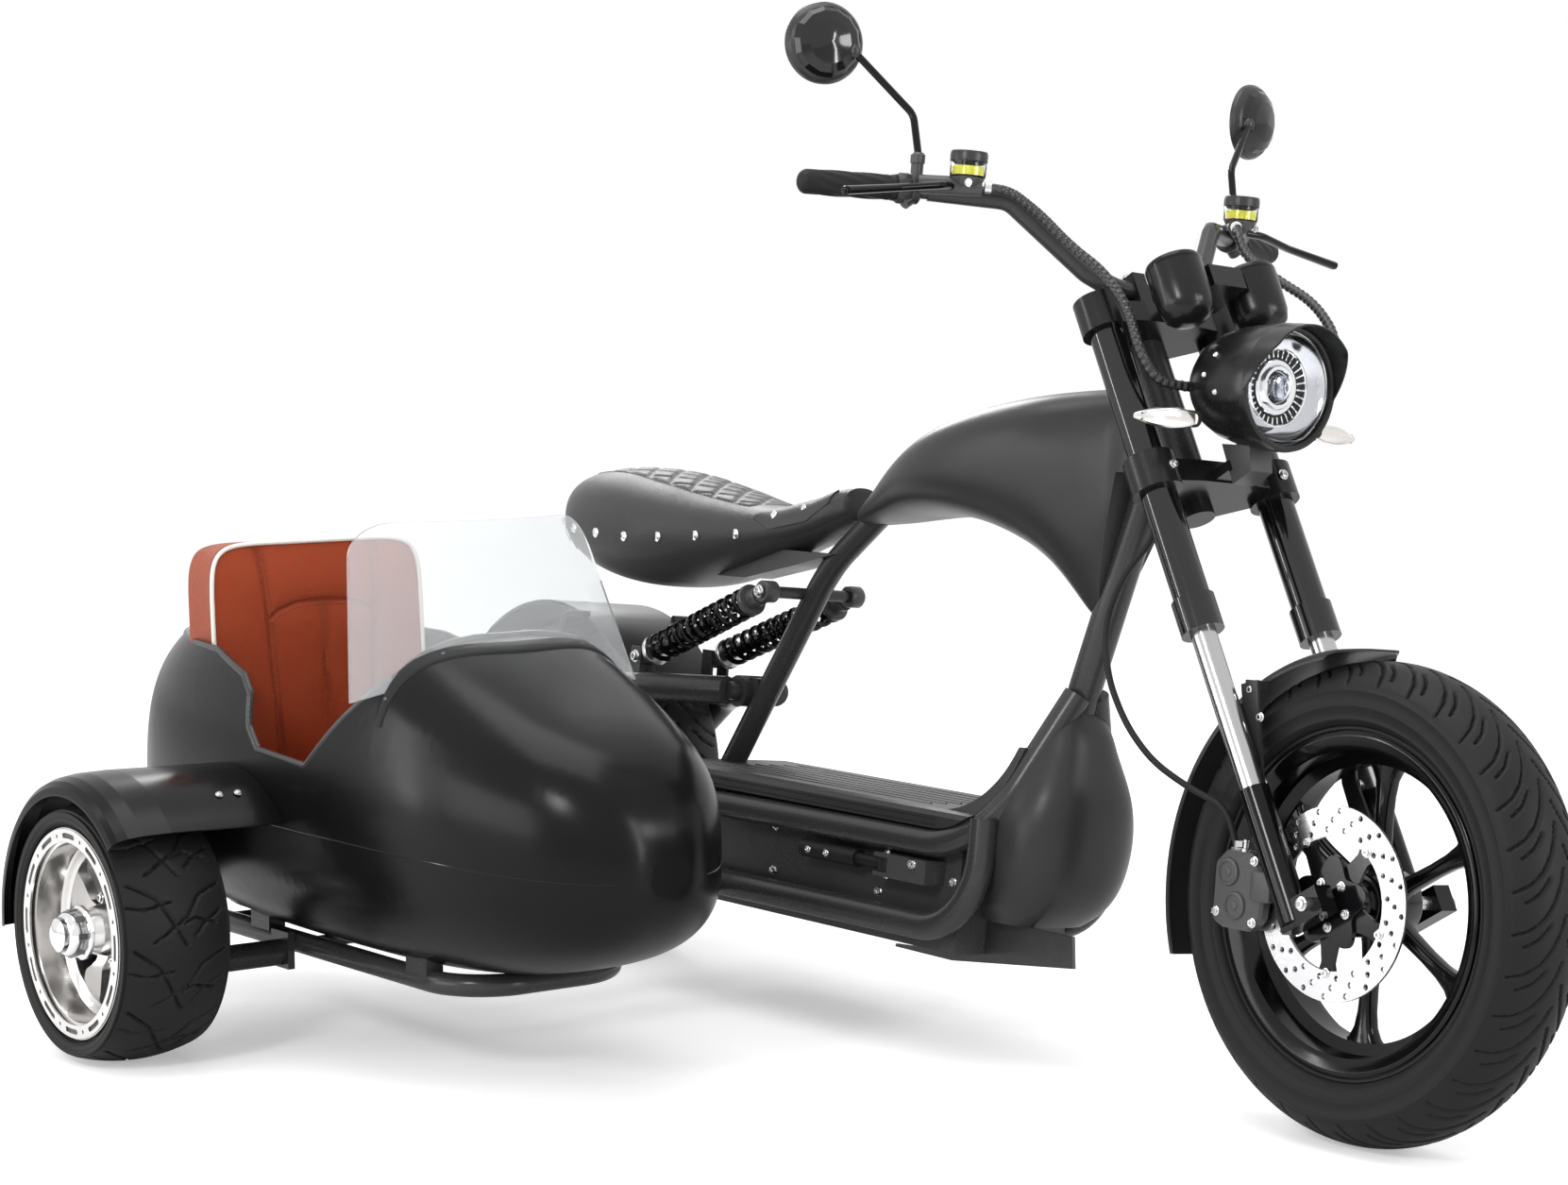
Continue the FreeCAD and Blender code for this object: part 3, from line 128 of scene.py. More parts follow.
class Groups:
    """The shader node groups that several finishes share."""

    @staticmethod
    def _start(name: str, inputs: dict[str, float], *outputs: str) -> tuple:
        """Open a new group.

        Args:
            name: The group's name.
            inputs: Names of its plain number inputs with their defaults.
            outputs: Names of its plain number outputs.

        Returns:
            The tree, its inputs, its output node and the place of the point being shaded.
        """
        tree = bpy.data.node_groups.new(name, "ShaderNodeTree")
        for key, value in inputs.items():
            socket = tree.interface.new_socket(key, in_out="INPUT", socket_type="NodeSocketFloat")
            socket.default_value = value
        for key in outputs:
            tree.interface.new_socket(key, in_out="OUTPUT", socket_type="NodeSocketFloat")
        place = add_node(tree, "ShaderNodeTexCoord").outputs["Object"]
        return tree, add_node(tree, "NodeGroupInput").outputs, add_node(tree, "NodeGroupOutput"), place

    @staticmethod
    def _noise(tree: NodeTree, scale: NodeSocket | float, detail: float, vector: NodeSocket) -> NodeSocket:
        """A noise texture on a vector, its scale a socket or a number."""
        inputs = {"Vector": vector, "Scale": scale, "Detail": detail}
        return add_node(tree, "ShaderNodeTexNoise", inputs).outputs["Fac"]

    @classmethod
    @cache
    def variation(cls) -> NodeTree:
        """Slow patches and fine specks, as masks from 0 to 1, with the dust that lies on upward faces."""
        tree, given, end, place = cls._start("surface_variation", {"Patch Scale": 9.0, "Speck Scale": 420.0},
                                             "Patches", "Specks", "Dust")
        slow = cls._noise(tree, given["Patch Scale"], 4.0, place)
        fine = cls._noise(tree, given["Speck Scale"], 2.0, place)
        normal = add_node(tree, "ShaderNodeNewGeometry").outputs["Normal"]
        split = add_node(tree, "ShaderNodeSeparateXYZ", {0: normal})
        haze = calculate(tree, "MULTIPLY", calculate(tree, "MAXIMUM", split.outputs["Z"], 0.0), slow)
        feed(tree, end, {"Patches": slow, "Specks": fine, "Dust": haze})
        return tree

    @classmethod
    @cache
    def edges(cls) -> NodeTree:
        """A mask of the rubbed corners, broken up by noise."""
        tree, given, end, place = cls._start("edge_wear", {"Sharpness": 9.0, "Breakup": 60.0}, "Mask")
        point = add_node(tree, "ShaderNodeNewGeometry").outputs["Pointiness"]
        scaled = calculate(tree, "MULTIPLY", calculate(tree, "SUBTRACT", point, 0.53), given["Sharpness"])
        broken = calculate(tree, "MULTIPLY", scaled, cls._noise(tree, given["Breakup"], 3.0, place))
        feed(tree, end, {"Mask": add_node(tree, "ShaderNodeClamp", {"Value": broken}).outputs[0]})
        return tree

    @classmethod
    @cache
    def grain(cls, kind: Grain) -> NodeTree:
        """The height map of one kind of fine relief.

        Args:
            kind: Which relief.

        Returns:
            A group with a Scale input and a Height output.
        """
        tree, given, end, place = cls._start(kind.value, {"Scale": 300.0}, "Height")
        scale = given["Scale"]
        if kind is Grain.BRUSHED:
            stretch = add_node(tree, "ShaderNodeMapping", {"Scale": (1.0, 0.06, 1.0), "Vector": place})
            height = cls._noise(tree, scale, 5.0, stretch.outputs[0])
        elif kind is Grain.LEATHER:
            cells = add_node(tree, "ShaderNodeTexVoronoi", {"Vector": place, "Scale": scale},
                             feature="DISTANCE_TO_EDGE").outputs["Distance"]
            creases = calculate(tree, "MULTIPLY", calculate(tree, "MINIMUM", cells, 0.16), 4.0)
            soft = cls._noise(tree, calculate(tree, "MULTIPLY", scale, 0.35), 6.0, place)
            height = calculate(tree, "ADD", creases, soft)
        elif kind is Grain.BRAID:
            cells = add_node(tree, "ShaderNodeTexVoronoi", {"Vector": place, "Scale": scale},
                             distance="MANHATTAN").outputs["Distance"]
            height = calculate(tree, "SUBTRACT", 1.0, cells)
        elif kind is Grain.RUBBER:
            fine = cls._noise(tree, scale, 8.0, place)
            coarse = cls._noise(tree, calculate(tree, "MULTIPLY", scale, 0.2), 4.0, place)
            height = calculate(tree, "ADD", fine, calculate(tree, "MULTIPLY", coarse, 0.6))
        else:
            height = cls._noise(tree, scale, 2.0 if kind is Grain.PAINT else 9.0, place)
        feed(tree, end, {"Height": height})
        return tree


def group_outputs(tree: NodeTree, group: NodeTree, inputs: dict | None = None) -> Sockets:
    """Put a shared group into a material's tree, with this material's own values, and return its outputs."""
    return add_node(tree, "ShaderNodeGroup", inputs, node_tree=group).outputs


def blend(tree: NodeTree, mask: NodeSocket, amount: float, low: Paint | NodeSocket, high: Paint) -> NodeSocket:
    """Mix two colours by a mask scaled to an amount.

    Args:
        tree: The material's tree.
        mask: From 0 to 1 over the surface.
        amount: The second colour's largest share.
        low: The colour where the mask is 0.
        high: The colour that the mask brings in.

    Returns:
        The mixed colour.
    """
    share = calculate(tree, "MULTIPLY", mask, amount)
    low, high = ((*c, 1.0) if isinstance(c, tuple) else c for c in (low, high))
    return add_node(tree, "ShaderNodeMix", {"Factor": share, 6: low, 7: high}, data_type="RGBA").outputs[2]


@dataclass(frozen=True)
class Finish:
    """One finish of the machine, made as a material the first time it is asked for."""

    name: str
    colour: Paint
    worn: Paint
    roughness: float
    spread: float = 0.12
    metallic: float = 0.0
    coat: float = 0.0
    grain: Grain = Grain.PAINT
    scale: float = 300.0
    depth: float = 0.1
    edge: float = 0.25
    dust: float = 0.06
    sheen: float = 0.0
    specular: float = 0.5

    COAT_ROUGHNESS = 0.08

    @cache
    def material(self) -> Material:
        """The finish's material, built once."""
        made = bpy.data.materials.new(self.name)
        made.use_nodes = True
        tree = made.node_tree
        masks = group_outputs(tree, Groups.variation())
        rubbed = group_outputs(tree, Groups.edges())["Mask"]
        relief = group_outputs(tree, Groups.grain(self.grain), {"Scale": self.scale})["Height"]
        bump = add_node(tree, "ShaderNodeBump", {"Strength": min(1.0, self.depth * 2.5),
                                                 "Distance": self.depth * 0.001, "Height": relief})
        bared = tuple(min(1, c * 1.5 + 0.05) for c in self.worn)
        edged = blend(tree, rubbed, self.edge, blend(tree, masks["Patches"], 0.5, self.colour, self.worn), bared)
        feed(tree, tree.nodes["Principled BSDF"], {
            "Base Color": blend(tree, masks["Dust"], self.dust, edged, DUST), "Metallic": self.metallic,
            "Roughness": self._roughness(tree, masks), "Normal": bump.outputs["Normal"], "Coat Weight": self.coat,
            "Coat Roughness": self.COAT_ROUGHNESS, "Sheen Weight": self.sheen, "Specular IOR Level": self.specular})
        return made

    def _roughness(self, tree: NodeTree, masks: Sockets) -> NodeSocket:
        """Roughness that wanders with the patches and specks of the surface."""
        slow = calculate(tree, "MULTIPLY", masks["Patches"], 0.65)
        both = calculate(tree, "MULTIPLY_ADD", masks["Specks"], 0.35, slow)
        return add_node(tree, "ShaderNodeMapRange", {
            "Value": both, "From Min": 0.3, "From Max": 0.7, "To Min": max(0.02, self.roughness - self.spread / 2),
            "To Max": min(1.0, self.roughness + self.spread / 2)}).outputs["Result"]


@dataclass(frozen=True)
class Clear:
    """A see-through finish: glass or clear plastic."""

    name: str
    colour: Paint
    roughness: float = 0.03
    ior: float = 1.49
    through: float = 1.0

    @cache
    def material(self) -> Material:
        """The clear material, built once."""
        made = bpy.data.materials.new(self.name)
        made.use_nodes = True
        tree = made.node_tree
        masks = group_outputs(tree, Groups.variation(), {"Patch Scale": 14.0})
        haze = add_node(tree, "ShaderNodeMapRange", {"Value": masks["Patches"], "To Min": self.roughness * 0.5,
                                                     "To Max": self.roughness * 2.0})
        dark = tuple(c * 0.97 for c in self.colour)
        feed(tree, tree.nodes["Principled BSDF"], {
            "Base Color": blend(tree, masks["Specks"], 0.5, self.colour, dark), "Roughness": haze.outputs["Result"],
            "Transmission Weight": self.through, "IOR": self.ior})
        return made


def greys(fresh: float, worn: float, blue: float = 0.0) -> tuple[Paint, Paint]:
    """A fresh and a worn grey, with so much more or less blue in both."""
    return (fresh, fresh, fresh + blue), (worn, worn, worn + blue)


SATIN_BLACK = Finish("satin_black_paint", *greys(0.032, 0.038, 0.0005), 0.26, specular=0.32,
                     scale=900.0, depth=0.05, edge=0.12, dust=0.012)
SHELL_BLACK = Finish("shell_black_paint", *greys(0.026, 0.031, 0.001), 0.35, specular=0.26,
                     scale=1100.0, depth=0.05, edge=0.12, dust=0.015)
TUB_BLACK = Finish("tub_black_paint", *greys(0.003, 0.005, 0.0005), 0.24, spread=0.05,
                   specular=0.16, scale=500.0, depth=0.03, edge=0.05, dust=0.012)
GLOSS_BLACK = Finish("gloss_black_paint", *greys(0.002, 0.004, 0.0005), 0.13, specular=0.24,
                     scale=600.0, depth=0.03, edge=0.1, dust=0.01)
FORK_GLOSS = Finish("fork_gloss_paint", *greys(0.002, 0.003, 0.0005), 0.09, spread=0.03,
                    specular=0.60, scale=300.0, depth=0.01, edge=0.06, dust=0.005)
FORK_CHROME = Finish("fork_chrome", *greys(0.50, 0.44, 0.005), 0.20, spread=0.06, metallic=1.0,
                     grain=Grain.BRUSHED, scale=500.0, depth=0.02, edge=0.05, dust=0.02)
CAST_BLACK = Finish("cast_black_paint", *greys(0.052, 0.060, 0.0005), 0.30, specular=0.30,
                    grain=Grain.CAST, scale=1300.0, depth=0.12, edge=0.15, dust=0.015)
PLASTIC = Finish("moulded_plastic", *greys(0.026, 0.032, 0.001), 0.32, specular=0.30,
                 grain=Grain.CAST, scale=1900.0, depth=0.06, edge=0.08, dust=0.012)
HOUSING_BLACK = Finish("housing_black_paint", *greys(0.006, 0.009, 0.0005), 0.24, specular=0.30,
                       scale=1200.0, depth=0.03, edge=0.08, dust=0.01)
DOME_BLACK = Finish("polished_black_plastic", *greys(0.004, 0.006, 0.0005), 0.10, spread=0.04,
                    specular=0.5, scale=300.0, depth=0.01, edge=0.03, dust=0.01)
SLEEVE = Finish("braided_sleeve", (0.008, 0.008, 0.0085), (0.018, 0.018, 0.019), 0.30, specular=0.6,
                grain=Grain.BRAID, scale=900.0, depth=0.2, edge=0.1, dust=0.03)
RUBBER = Finish("black_rubber", *greys(0.009, 0.018), 0.52, specular=0.18,
                grain=Grain.RUBBER, scale=800.0, depth=0.2, edge=0.08, dust=0.04)
MAT_RUBBER = Finish("deck_mat", *greys(0.022, 0.036, 0.001), 0.44, specular=0.24,
                    grain=Grain.RUBBER, scale=1200.0, depth=0.25, edge=0.1, dust=0.08)
TYRE_RUBBER = Finish("tyre_rubber", *greys(0.008, 0.015), 0.50, specular=0.17,
                     grain=Grain.RUBBER, scale=900.0, depth=0.3, edge=0.04, dust=0.03)
BLACK_LEATHER = Finish("saddle_leather", (0.038, 0.0375, 0.0375), (0.047, 0.0465, 0.046), 0.33, specular=0.24,
                       grain=Grain.LEATHER, scale=420.0, depth=0.35, edge=0.04, dust=0.02, sheen=0.03)
BROWN_LEATHER = Finish("seat_brown_leather", (0.300, 0.048, 0.016), (0.255, 0.038, 0.013), 0.50, specular=0.12,
                       grain=Grain.LEATHER, scale=480.0, depth=0.30, edge=0.01, dust=0.0, spread=0.16)
BROWN_SIDE = Finish("brown_leather_side", (0.330, 0.095, 0.060), (0.270, 0.074, 0.046), 0.58, specular=0.12,
                    grain=Grain.LEATHER, scale=380.0, depth=0.45, edge=0.03, dust=0.02, sheen=0.03, spread=0.16)
PIPING = Finish("white_piping", (0.80, 0.76, 0.70), (0.70, 0.65, 0.58), 0.45, grain=Grain.LEATHER, scale=900.0,
                depth=0.10, dust=0.1)
THREAD = Finish("dark_thread", *greys(0.05, 0.09), 0.7, grain=Grain.RUBBER, scale=2500.0,
                depth=0.1)
BROWN_THREAD = Finish("brown_thread", (0.16, 0.035, 0.014), (0.12, 0.028, 0.012), 0.7, grain=Grain.RUBBER,
                      scale=2500.0, depth=0.1)
CHROME = Finish("bright_chrome", (0.86, 0.86, 0.87), (0.78, 0.78, 0.80), 0.08, spread=0.05, metallic=1.0, scale=300.0,
                depth=0.02, edge=0.05, dust=0.04)
POLISHED = Finish("polished_alloy", (0.80, 0.79, 0.78), (0.68, 0.66, 0.64), 0.16, spread=0.12, metallic=1.0,
                  grain=Grain.BRUSHED, scale=240.0, depth=0.04, edge=0.05, dust=0.05)
STEEL = Finish("brushed_steel", *greys(0.62, 0.48, 0.01), 0.28, spread=0.14, metallic=1.0,
               grain=Grain.BRUSHED, scale=700.0, depth=0.06, edge=0.1, dust=0.05)
BOLT_STEEL = Finish("bolt_steel", *greys(0.74, 0.60, 0.01), 0.22, metallic=1.0, grain=Grain.CAST,
                    scale=1500.0, depth=0.05, dust=0.04)
DARK_STEEL = Finish("dark_steel", *greys(0.10, 0.16, 0.005), 0.36, metallic=0.9, grain=Grain.CAST,
                    scale=1500.0, depth=0.06)
REFLECTOR = Finish("lamp_reflector", (0.90, 0.90, 0.91), (0.80, 0.80, 0.82), 0.10, metallic=1.0, scale=200.0,
                   depth=0.05, edge=0.0, dust=0.0)
RED_LENS = Finish("tail_red_lens", (0.42, 0.012, 0.010), (0.30, 0.010, 0.008), 0.12, coat=0.8, scale=150.0, depth=0.08)
DIAL_FACE = Finish("dial_face", (0.016, 0.016, 0.017), (0.024, 0.024, 0.026), 0.5, scale=900.0, depth=0.03)
DIAL_MARK = Finish("dial_marks", *greys(0.75, 0.65, -0.03), 0.5, scale=900.0, depth=0.03)
FLUID = Finish("brake_fluid", (0.78, 0.74, 0.02), (0.66, 0.62, 0.02), 0.18, coat=0.6, scale=60.0, depth=0.05,
               edge=0.0, dust=0.0)
# The screen lets 0.80 through. The rest shows its near-white base colour as a diffuse wash over what lies behind, a
# painted reflection of the white surround.
SCREEN_PAINTED_REFLECTION_GLASS = Clear("windscreen_painted_reflection", (0.88, 0.90, 0.91), 0.02, 1.12, through=0.80)
LAMP_GLASS = Clear("lamp_glass", (0.98, 0.99, 1.0), 0.01, 1.25)
PROJECTOR = Clear("projector_glass", (0.90, 0.93, 0.97), 0.01, 1.50)
SIGNAL_LENS = Clear("signal_lens", (0.94, 0.90, 0.84), 0.08, 1.40)
CUP_PLASTIC = Clear("cup_plastic", (0.95, 0.96, 0.93), 0.03, 1.30)

# Every CAD node with its finish.
NODE_FINISH: dict[str, Finish | Clear] = {node: finish for finish, nodes in {
    SHELL_BLACK: "tank_shell front_shell rear_fender front_fender",
    SATIN_BLACK: "main_frame rail_right rail_left seat_stays swingarm sidecar_frame sidecar_struts axle_arm handlebar "
                 "side_stand",
    TUB_BLACK: "sidecar_tub side_fender", HOUSING_BLACK: "upper_clamp lower_clamp", FORK_GLOSS: "fork_covers",
    GLOSS_BLACK: "fork_castings front_rim rear_rim", FORK_CHROME: "fork_tubes", CHROME: "turn_signals",
    CAST_BLACK: "battery_box saddle_bracket rear_shocks rear_caliper front_caliper",
    STEEL: "rear_axle side_axle front_axle front_disc rear_disc", DARK_STEEL: "skid_plate", POLISHED: "side_rim",
    PLASTIC: "control_right control_left mirrors headlight instrument_pods", MAT_RUBBER: "deck",
    RUBBER: "grips brake_hose foot_peg_right foot_peg_left", TYRE_RUBBER: "front_tyre rear_tyre side_tyre",
    SLEEVE: "control_cables", BLACK_LEATHER: "saddle", BROWN_LEATHER: "seat_back seat_base", RED_LENS: "tail_lamp",
    SCREEN_PAINTED_REFLECTION_GLASS: "windshield", LAMP_GLASS: "headlight_lens",
}.items() for node in nodes.split()}


def turns(count: int) -> list[float]:
    """Evenly spaced angles round a circle."""
    return [2 * math.pi * i / count for i in range(count)]


def sided(p: Point, s: int) -> Vector:
    """A point given for the left, on the left for 1 and on the right for -1."""
    return Vector((p[0], s * p[1], p[2]))


def spoke(a: float) -> tuple[Vector, Vector]:
    """The outward and the sideways direction at an angle round an axle."""
    return Vector((math.cos(a), 0, math.sin(a))), Vector((-math.sin(a), 0, math.cos(a)))


def squared(a: float, bend: float) -> Pair:
    """A point of a superellipse at an angle: it is round at a bend of 1 and squarer below that."""
    c, s = math.cos(a), math.sin(a)
    return math.copysign(abs(c) ** bend, c), math.copysign(abs(s) ** bend, s)


def run_distance(p: Pair, start: Pair, end: Pair) -> float:
    """Distance from a flat point to a straight run.

    Args:
        p: The point.
        start: Where the run starts.
        end: Where it ends.

    Returns:
        The shortest distance.
    """
    (u, w), (u0, w0), (u1, w1) = p, start, end
    du, dw = u1 - u0, w1 - w0
    t = max(0.0, min(1.0, ((u - u0) * du + (w - w0) * dw) / (du * du + dw * dw)))
    return math.hypot(u - u0 - t * du, w - w0 - t * dw)


def corner_arc(start: Vector, d1: Vector, d2: Vector, radius: float, count: int) -> list[Vector]:
    """An arc that starts along one direction and ends along another.

    Args:
        start: Where the arc starts.
        d1: Its direction there.
        d2: Its direction at the end.
        radius: Its radius.
        count: How many steps it has.

    Returns:
        The arc's points with both ends.
    """
    turn = d1.angle(d2)
    inward = (d2 - d1 * math.cos(turn)).normalized()
    centre = start + inward * radius
    angles = [turn * i / count for i in range(count + 1)]
    return [centre - inward * radius * math.cos(a) + d1 * radius * math.sin(a) for a in angles]


def rounded_path(points: Sequence[Point], radius: float, step: float = 4.0) -> list[Vector]:
    """Sample a route of straight runs whose corners are tangent arcs.

    Args:
        points: The corner points.
        radius: The radius of every corner, in millimetres.
        step: The longest distance between samples.

    Returns:
        The sampled points from end to end.
    """
    pts = [Vector(p) for p in points]
    out = [pts[0]]
    for a, b, c in zip(pts, pts[1:], pts[2:]):
        d1, d2 = (b - a).normalized(), (c - b).normalized()
        turn = d1.angle(d2)
        if turn >= 1e-4:
            start = b - d1 * radius * math.tan(turn / 2)
            out += corner_arc(start, d1, d2, radius, max(3, int(turn * radius / step)))
    return out + [pts[-1]]


def even_points(path: Sequence[Vector], step: float) -> list[Vector]:
    """Points spaced evenly along a sampled route.

    Args:
        path: The route's points.
        step: The distance between the new points.

    Returns:
        The points from the route's start.
    """
    out = [path[0]]
    left = step
    for a, b in zip(path, path[1:]):
        run = (b - a).length
        while run > left:
            a = a.lerp(b, left / run)
            out.append(a)
            run = (b - a).length
            left = step
        left -= run
    return out


def show(name: str, data: bpy.types.ID) -> Object:
    """A new object at the origin, linked to the scene."""
    obj = bpy.data.objects.new(name, data)
    bpy.context.scene.collection.objects.link(obj)
    return obj


def plain_mesh(holder: Object, *others: Object) -> Mesh:
    """What a shown holder evaluates to, as a plain mesh; the holder and its helpers go."""
    bpy.context.view_layer.update()
    made = bpy.data.meshes.new_from_object(holder.evaluated_get(bpy.context.evaluated_depsgraph_get()))
    holder.modifiers.clear()
    for obj in (holder, *others):
        bpy.data.objects.remove(obj)
    return made


class Piece:
    """Gathers one piece's faces in its own drawing place and sets the finished mesh on its body."""

    def __init__(self, name: str, place: Matrix) -> None:
        self.name = name
        self.place = place
        self.bm = bmesh.new()
        self.finishes: list[Finish | Clear] = []

    def index(self, finish: Finish | Clear) -> int:
        """The face index of a finish in this piece."""
        if finish not in self.finishes:
            self.finishes.append(finish)
        return self.finishes.index(finish)

    def skin(self, rings: Sequence[Sequence[Point]], finish: Finish | Clear, closed: bool = True,
             caps: bool = True, loop: bool = False) -> None:
        """Join rings of points by faces.

        Args:
            rings: Lists of points, all as long as one another.
            finish: The finish of the faces.
            closed: Whether each ring runs back to its first point.
            caps: Whether the first and last rings are filled.
            loop: Whether the last ring joins the first.
        """
        number = self.index(finish)
        rows = [[self.bm.verts.new(self.place @ Vector(p)) for p in ring] for ring in rings]
        faces = []
        for a, b in zip(rows, rows[1:] + rows[:1] if loop else rows[1:]):
            for i in range(len(a) if closed else len(a) - 1):
                j = (i + 1) % len(a)
                faces.append(self.bm.faces.new((a[i], a[j], b[j], b[i])))
        if caps and not loop:
            faces += [self.bm.faces.new(rows[0][::-1]), self.bm.faces.new(rows[-1])]
        for face in faces:
            face.material_index = number
            face.smooth = True

    def lathe(self, profile: Sequence[Pair], finish: Finish | Clear, at: Point = (0, 0, 0),
              axis: Point = LEFT, steps: int = 64, start: float = 0.0, arc: float = 360.0) -> None:
        """Turn a closed profile of radius and offset pairs about an axis.

        Args:
            profile: The pairs, without a repeated end.
            finish: The finish of the faces.
            at: The point on the axis where the offset is 0.
            axis: The axis's direction.
            steps: Faces round a full turn.
            start: The first angle, in degrees.
            arc: How far it turns, in degrees.
        """
        along = Vector(axis).normalized()
        side = along.orthogonal().normalized() if abs(along.z) > 0.9 else Vector(UP).cross(along).normalized()
        up = along.cross(side)
        rings = []
        for i in range(steps if arc >= 360 else steps + 1):
            a = math.radians(start + arc * i / steps)
            out = side * math.cos(a) + up * math.sin(a)
            rings.append([Vector(at) + out * r + along * w for r, w in profile])
        self.skin(rings, finish, closed=True, caps=arc < 360, loop=arc >= 360)

    def sweep(self, path: Sequence[Point], radius: float | Callable[[float, float], float],
              finish: Finish | Clear, sides: int = 12, flat: float = 1.0, upward: Point = UP) -> None:
        """Carry a round or flattened section along a route.

        Args:
            path: The route's points.
            radius: The section's radius, or a function of distance along and angle.
            finish: The finish of the faces.
            sides: Points round the section.
            flat: How far the section is pressed flat across the upward direction.
            upward: The direction that the pressed side faces.
        """
        pts = [Vector(p) for p in path]
        rings = []
        gone = 0.0
        normal = Vector(upward)
        for i, p in enumerate(pts):
            ahead = (pts[min(i + 1, len(pts) - 1)] - pts[max(i - 1, 0)]).normalized()
            normal = (normal - ahead * normal.dot(ahead)).normalized()
            across = ahead.cross(normal)
            gone += (p - pts[i - 1]).length if i else 0.0
            ring = []
            for a in turns(sides):
                r = radius(gone, a) if callable(radius) else radius
                ring.append(p + across * r * math.cos(a) + normal * r * flat * math.sin(a))
            rings.append(ring)
        self.skin(rings, finish)

    def box(self, low: Point, high: Point, finish: Finish | Clear, soften: float = 1.5, power: float = 8.0) -> None:
        """A block with rounded corners: a superellipse section drawn in at both ends.

        Args:
            low: The lowest corner.
            high: The highest corner.
            finish: The finish of the faces.
            soften: How far the edges above and below are rounded.
            power: The section's power: the higher, the squarer.
        """
        lo, hi = Vector(low), Vector(high)
        mid, half = (lo + hi) / 2, (hi - lo) / 2
        rings = []
        levels = [(-1, 1 - soften / half.x), (-1 + soften * 0.4 / half.z, 1 - soften * 0.3 / half.x),
                  (-1 + soften / half.z, 1)]
        for height, share in levels + [(-h, s) for h, s in reversed(levels)]:
            ring = []
            for k in range(32):
                c, s = squared(2 * math.pi * (k + 0.5) / 32, 2 / power)
                ring.append((mid.x + half.x * share * c, mid.y + half.y * share * s, mid.z + half.z * height))
            rings.append(ring)
        self.skin(rings, finish)

    def add_mesh(self, mesh: Mesh, finish: Finish | Clear) -> None:
        """Take in a mesh that is already in metres in the row frame, in one finish."""
        first = len(self.bm.faces)
        self.bm.from_mesh(mesh)
        self.bm.faces.ensure_lookup_table()
        number = self.index(finish)
        for face in self.bm.faces[first:]:
            face.material_index = number
        bpy.data.meshes.remove(mesh)

    def scatter(self, part: Object, marks: Sequence[Mark], finish: Finish, turn: float = 0.0) -> None:
        """Take in copies of a small part on marked points, each turned at random by up to so many radians."""
        self.add_mesh(Repeats.on_points(part, marks, self.place, finish, turn), finish)

    def fill(self, ring: Sequence[Point], finish: Finish) -> None:
        """Close a ring of points with one flat face."""
        face = self.bm.faces.new([self.bm.verts.new(self.place @ Vector(p)) for p in ring])
        face.material_index = self.index(finish)

    def to_mesh(self, weld: float = WELD, crease: float = 38.0) -> Mesh:
        """Weld the faces, point them outwards, keep edges past the crease angle sharp and make the mesh."""
        bmesh.ops.remove_doubles(self.bm, verts=self.bm.verts, dist=weld)
        bmesh.ops.recalc_face_normals(self.bm, faces=self.bm.faces)
        for edge in self.bm.edges:
            edge.smooth = len(edge.link_faces) == 2 and edge.calc_face_angle() < math.radians(crease)
        mesh = bpy.data.meshes.new(self.name)
        self.bm.to_mesh(mesh)
        self.bm.free()
        return mesh

    def done(self, body: str, slot: str, *replaced: str, crease: float = 38.0) -> Object:
        """Finish the piece.

        Args:
            body: The CAD body that it rides on.
            slot: Not used.
            replaced: CAD nodes that it stands for.
            crease: The angle from which an edge stays sharp, in degrees.

        Returns:
            The new object.
        """
        mesh = self.to_mesh(crease=crease)
        for finish in self.finishes:
            mesh.materials.append(finish.material())
        obj = show(self.name, mesh)
        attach(obj, body)
        if replaced:
            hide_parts(*replaced)
        LOG.info("%s: %d faces on %s", self.name, len(mesh.polygons), body)
        return obj


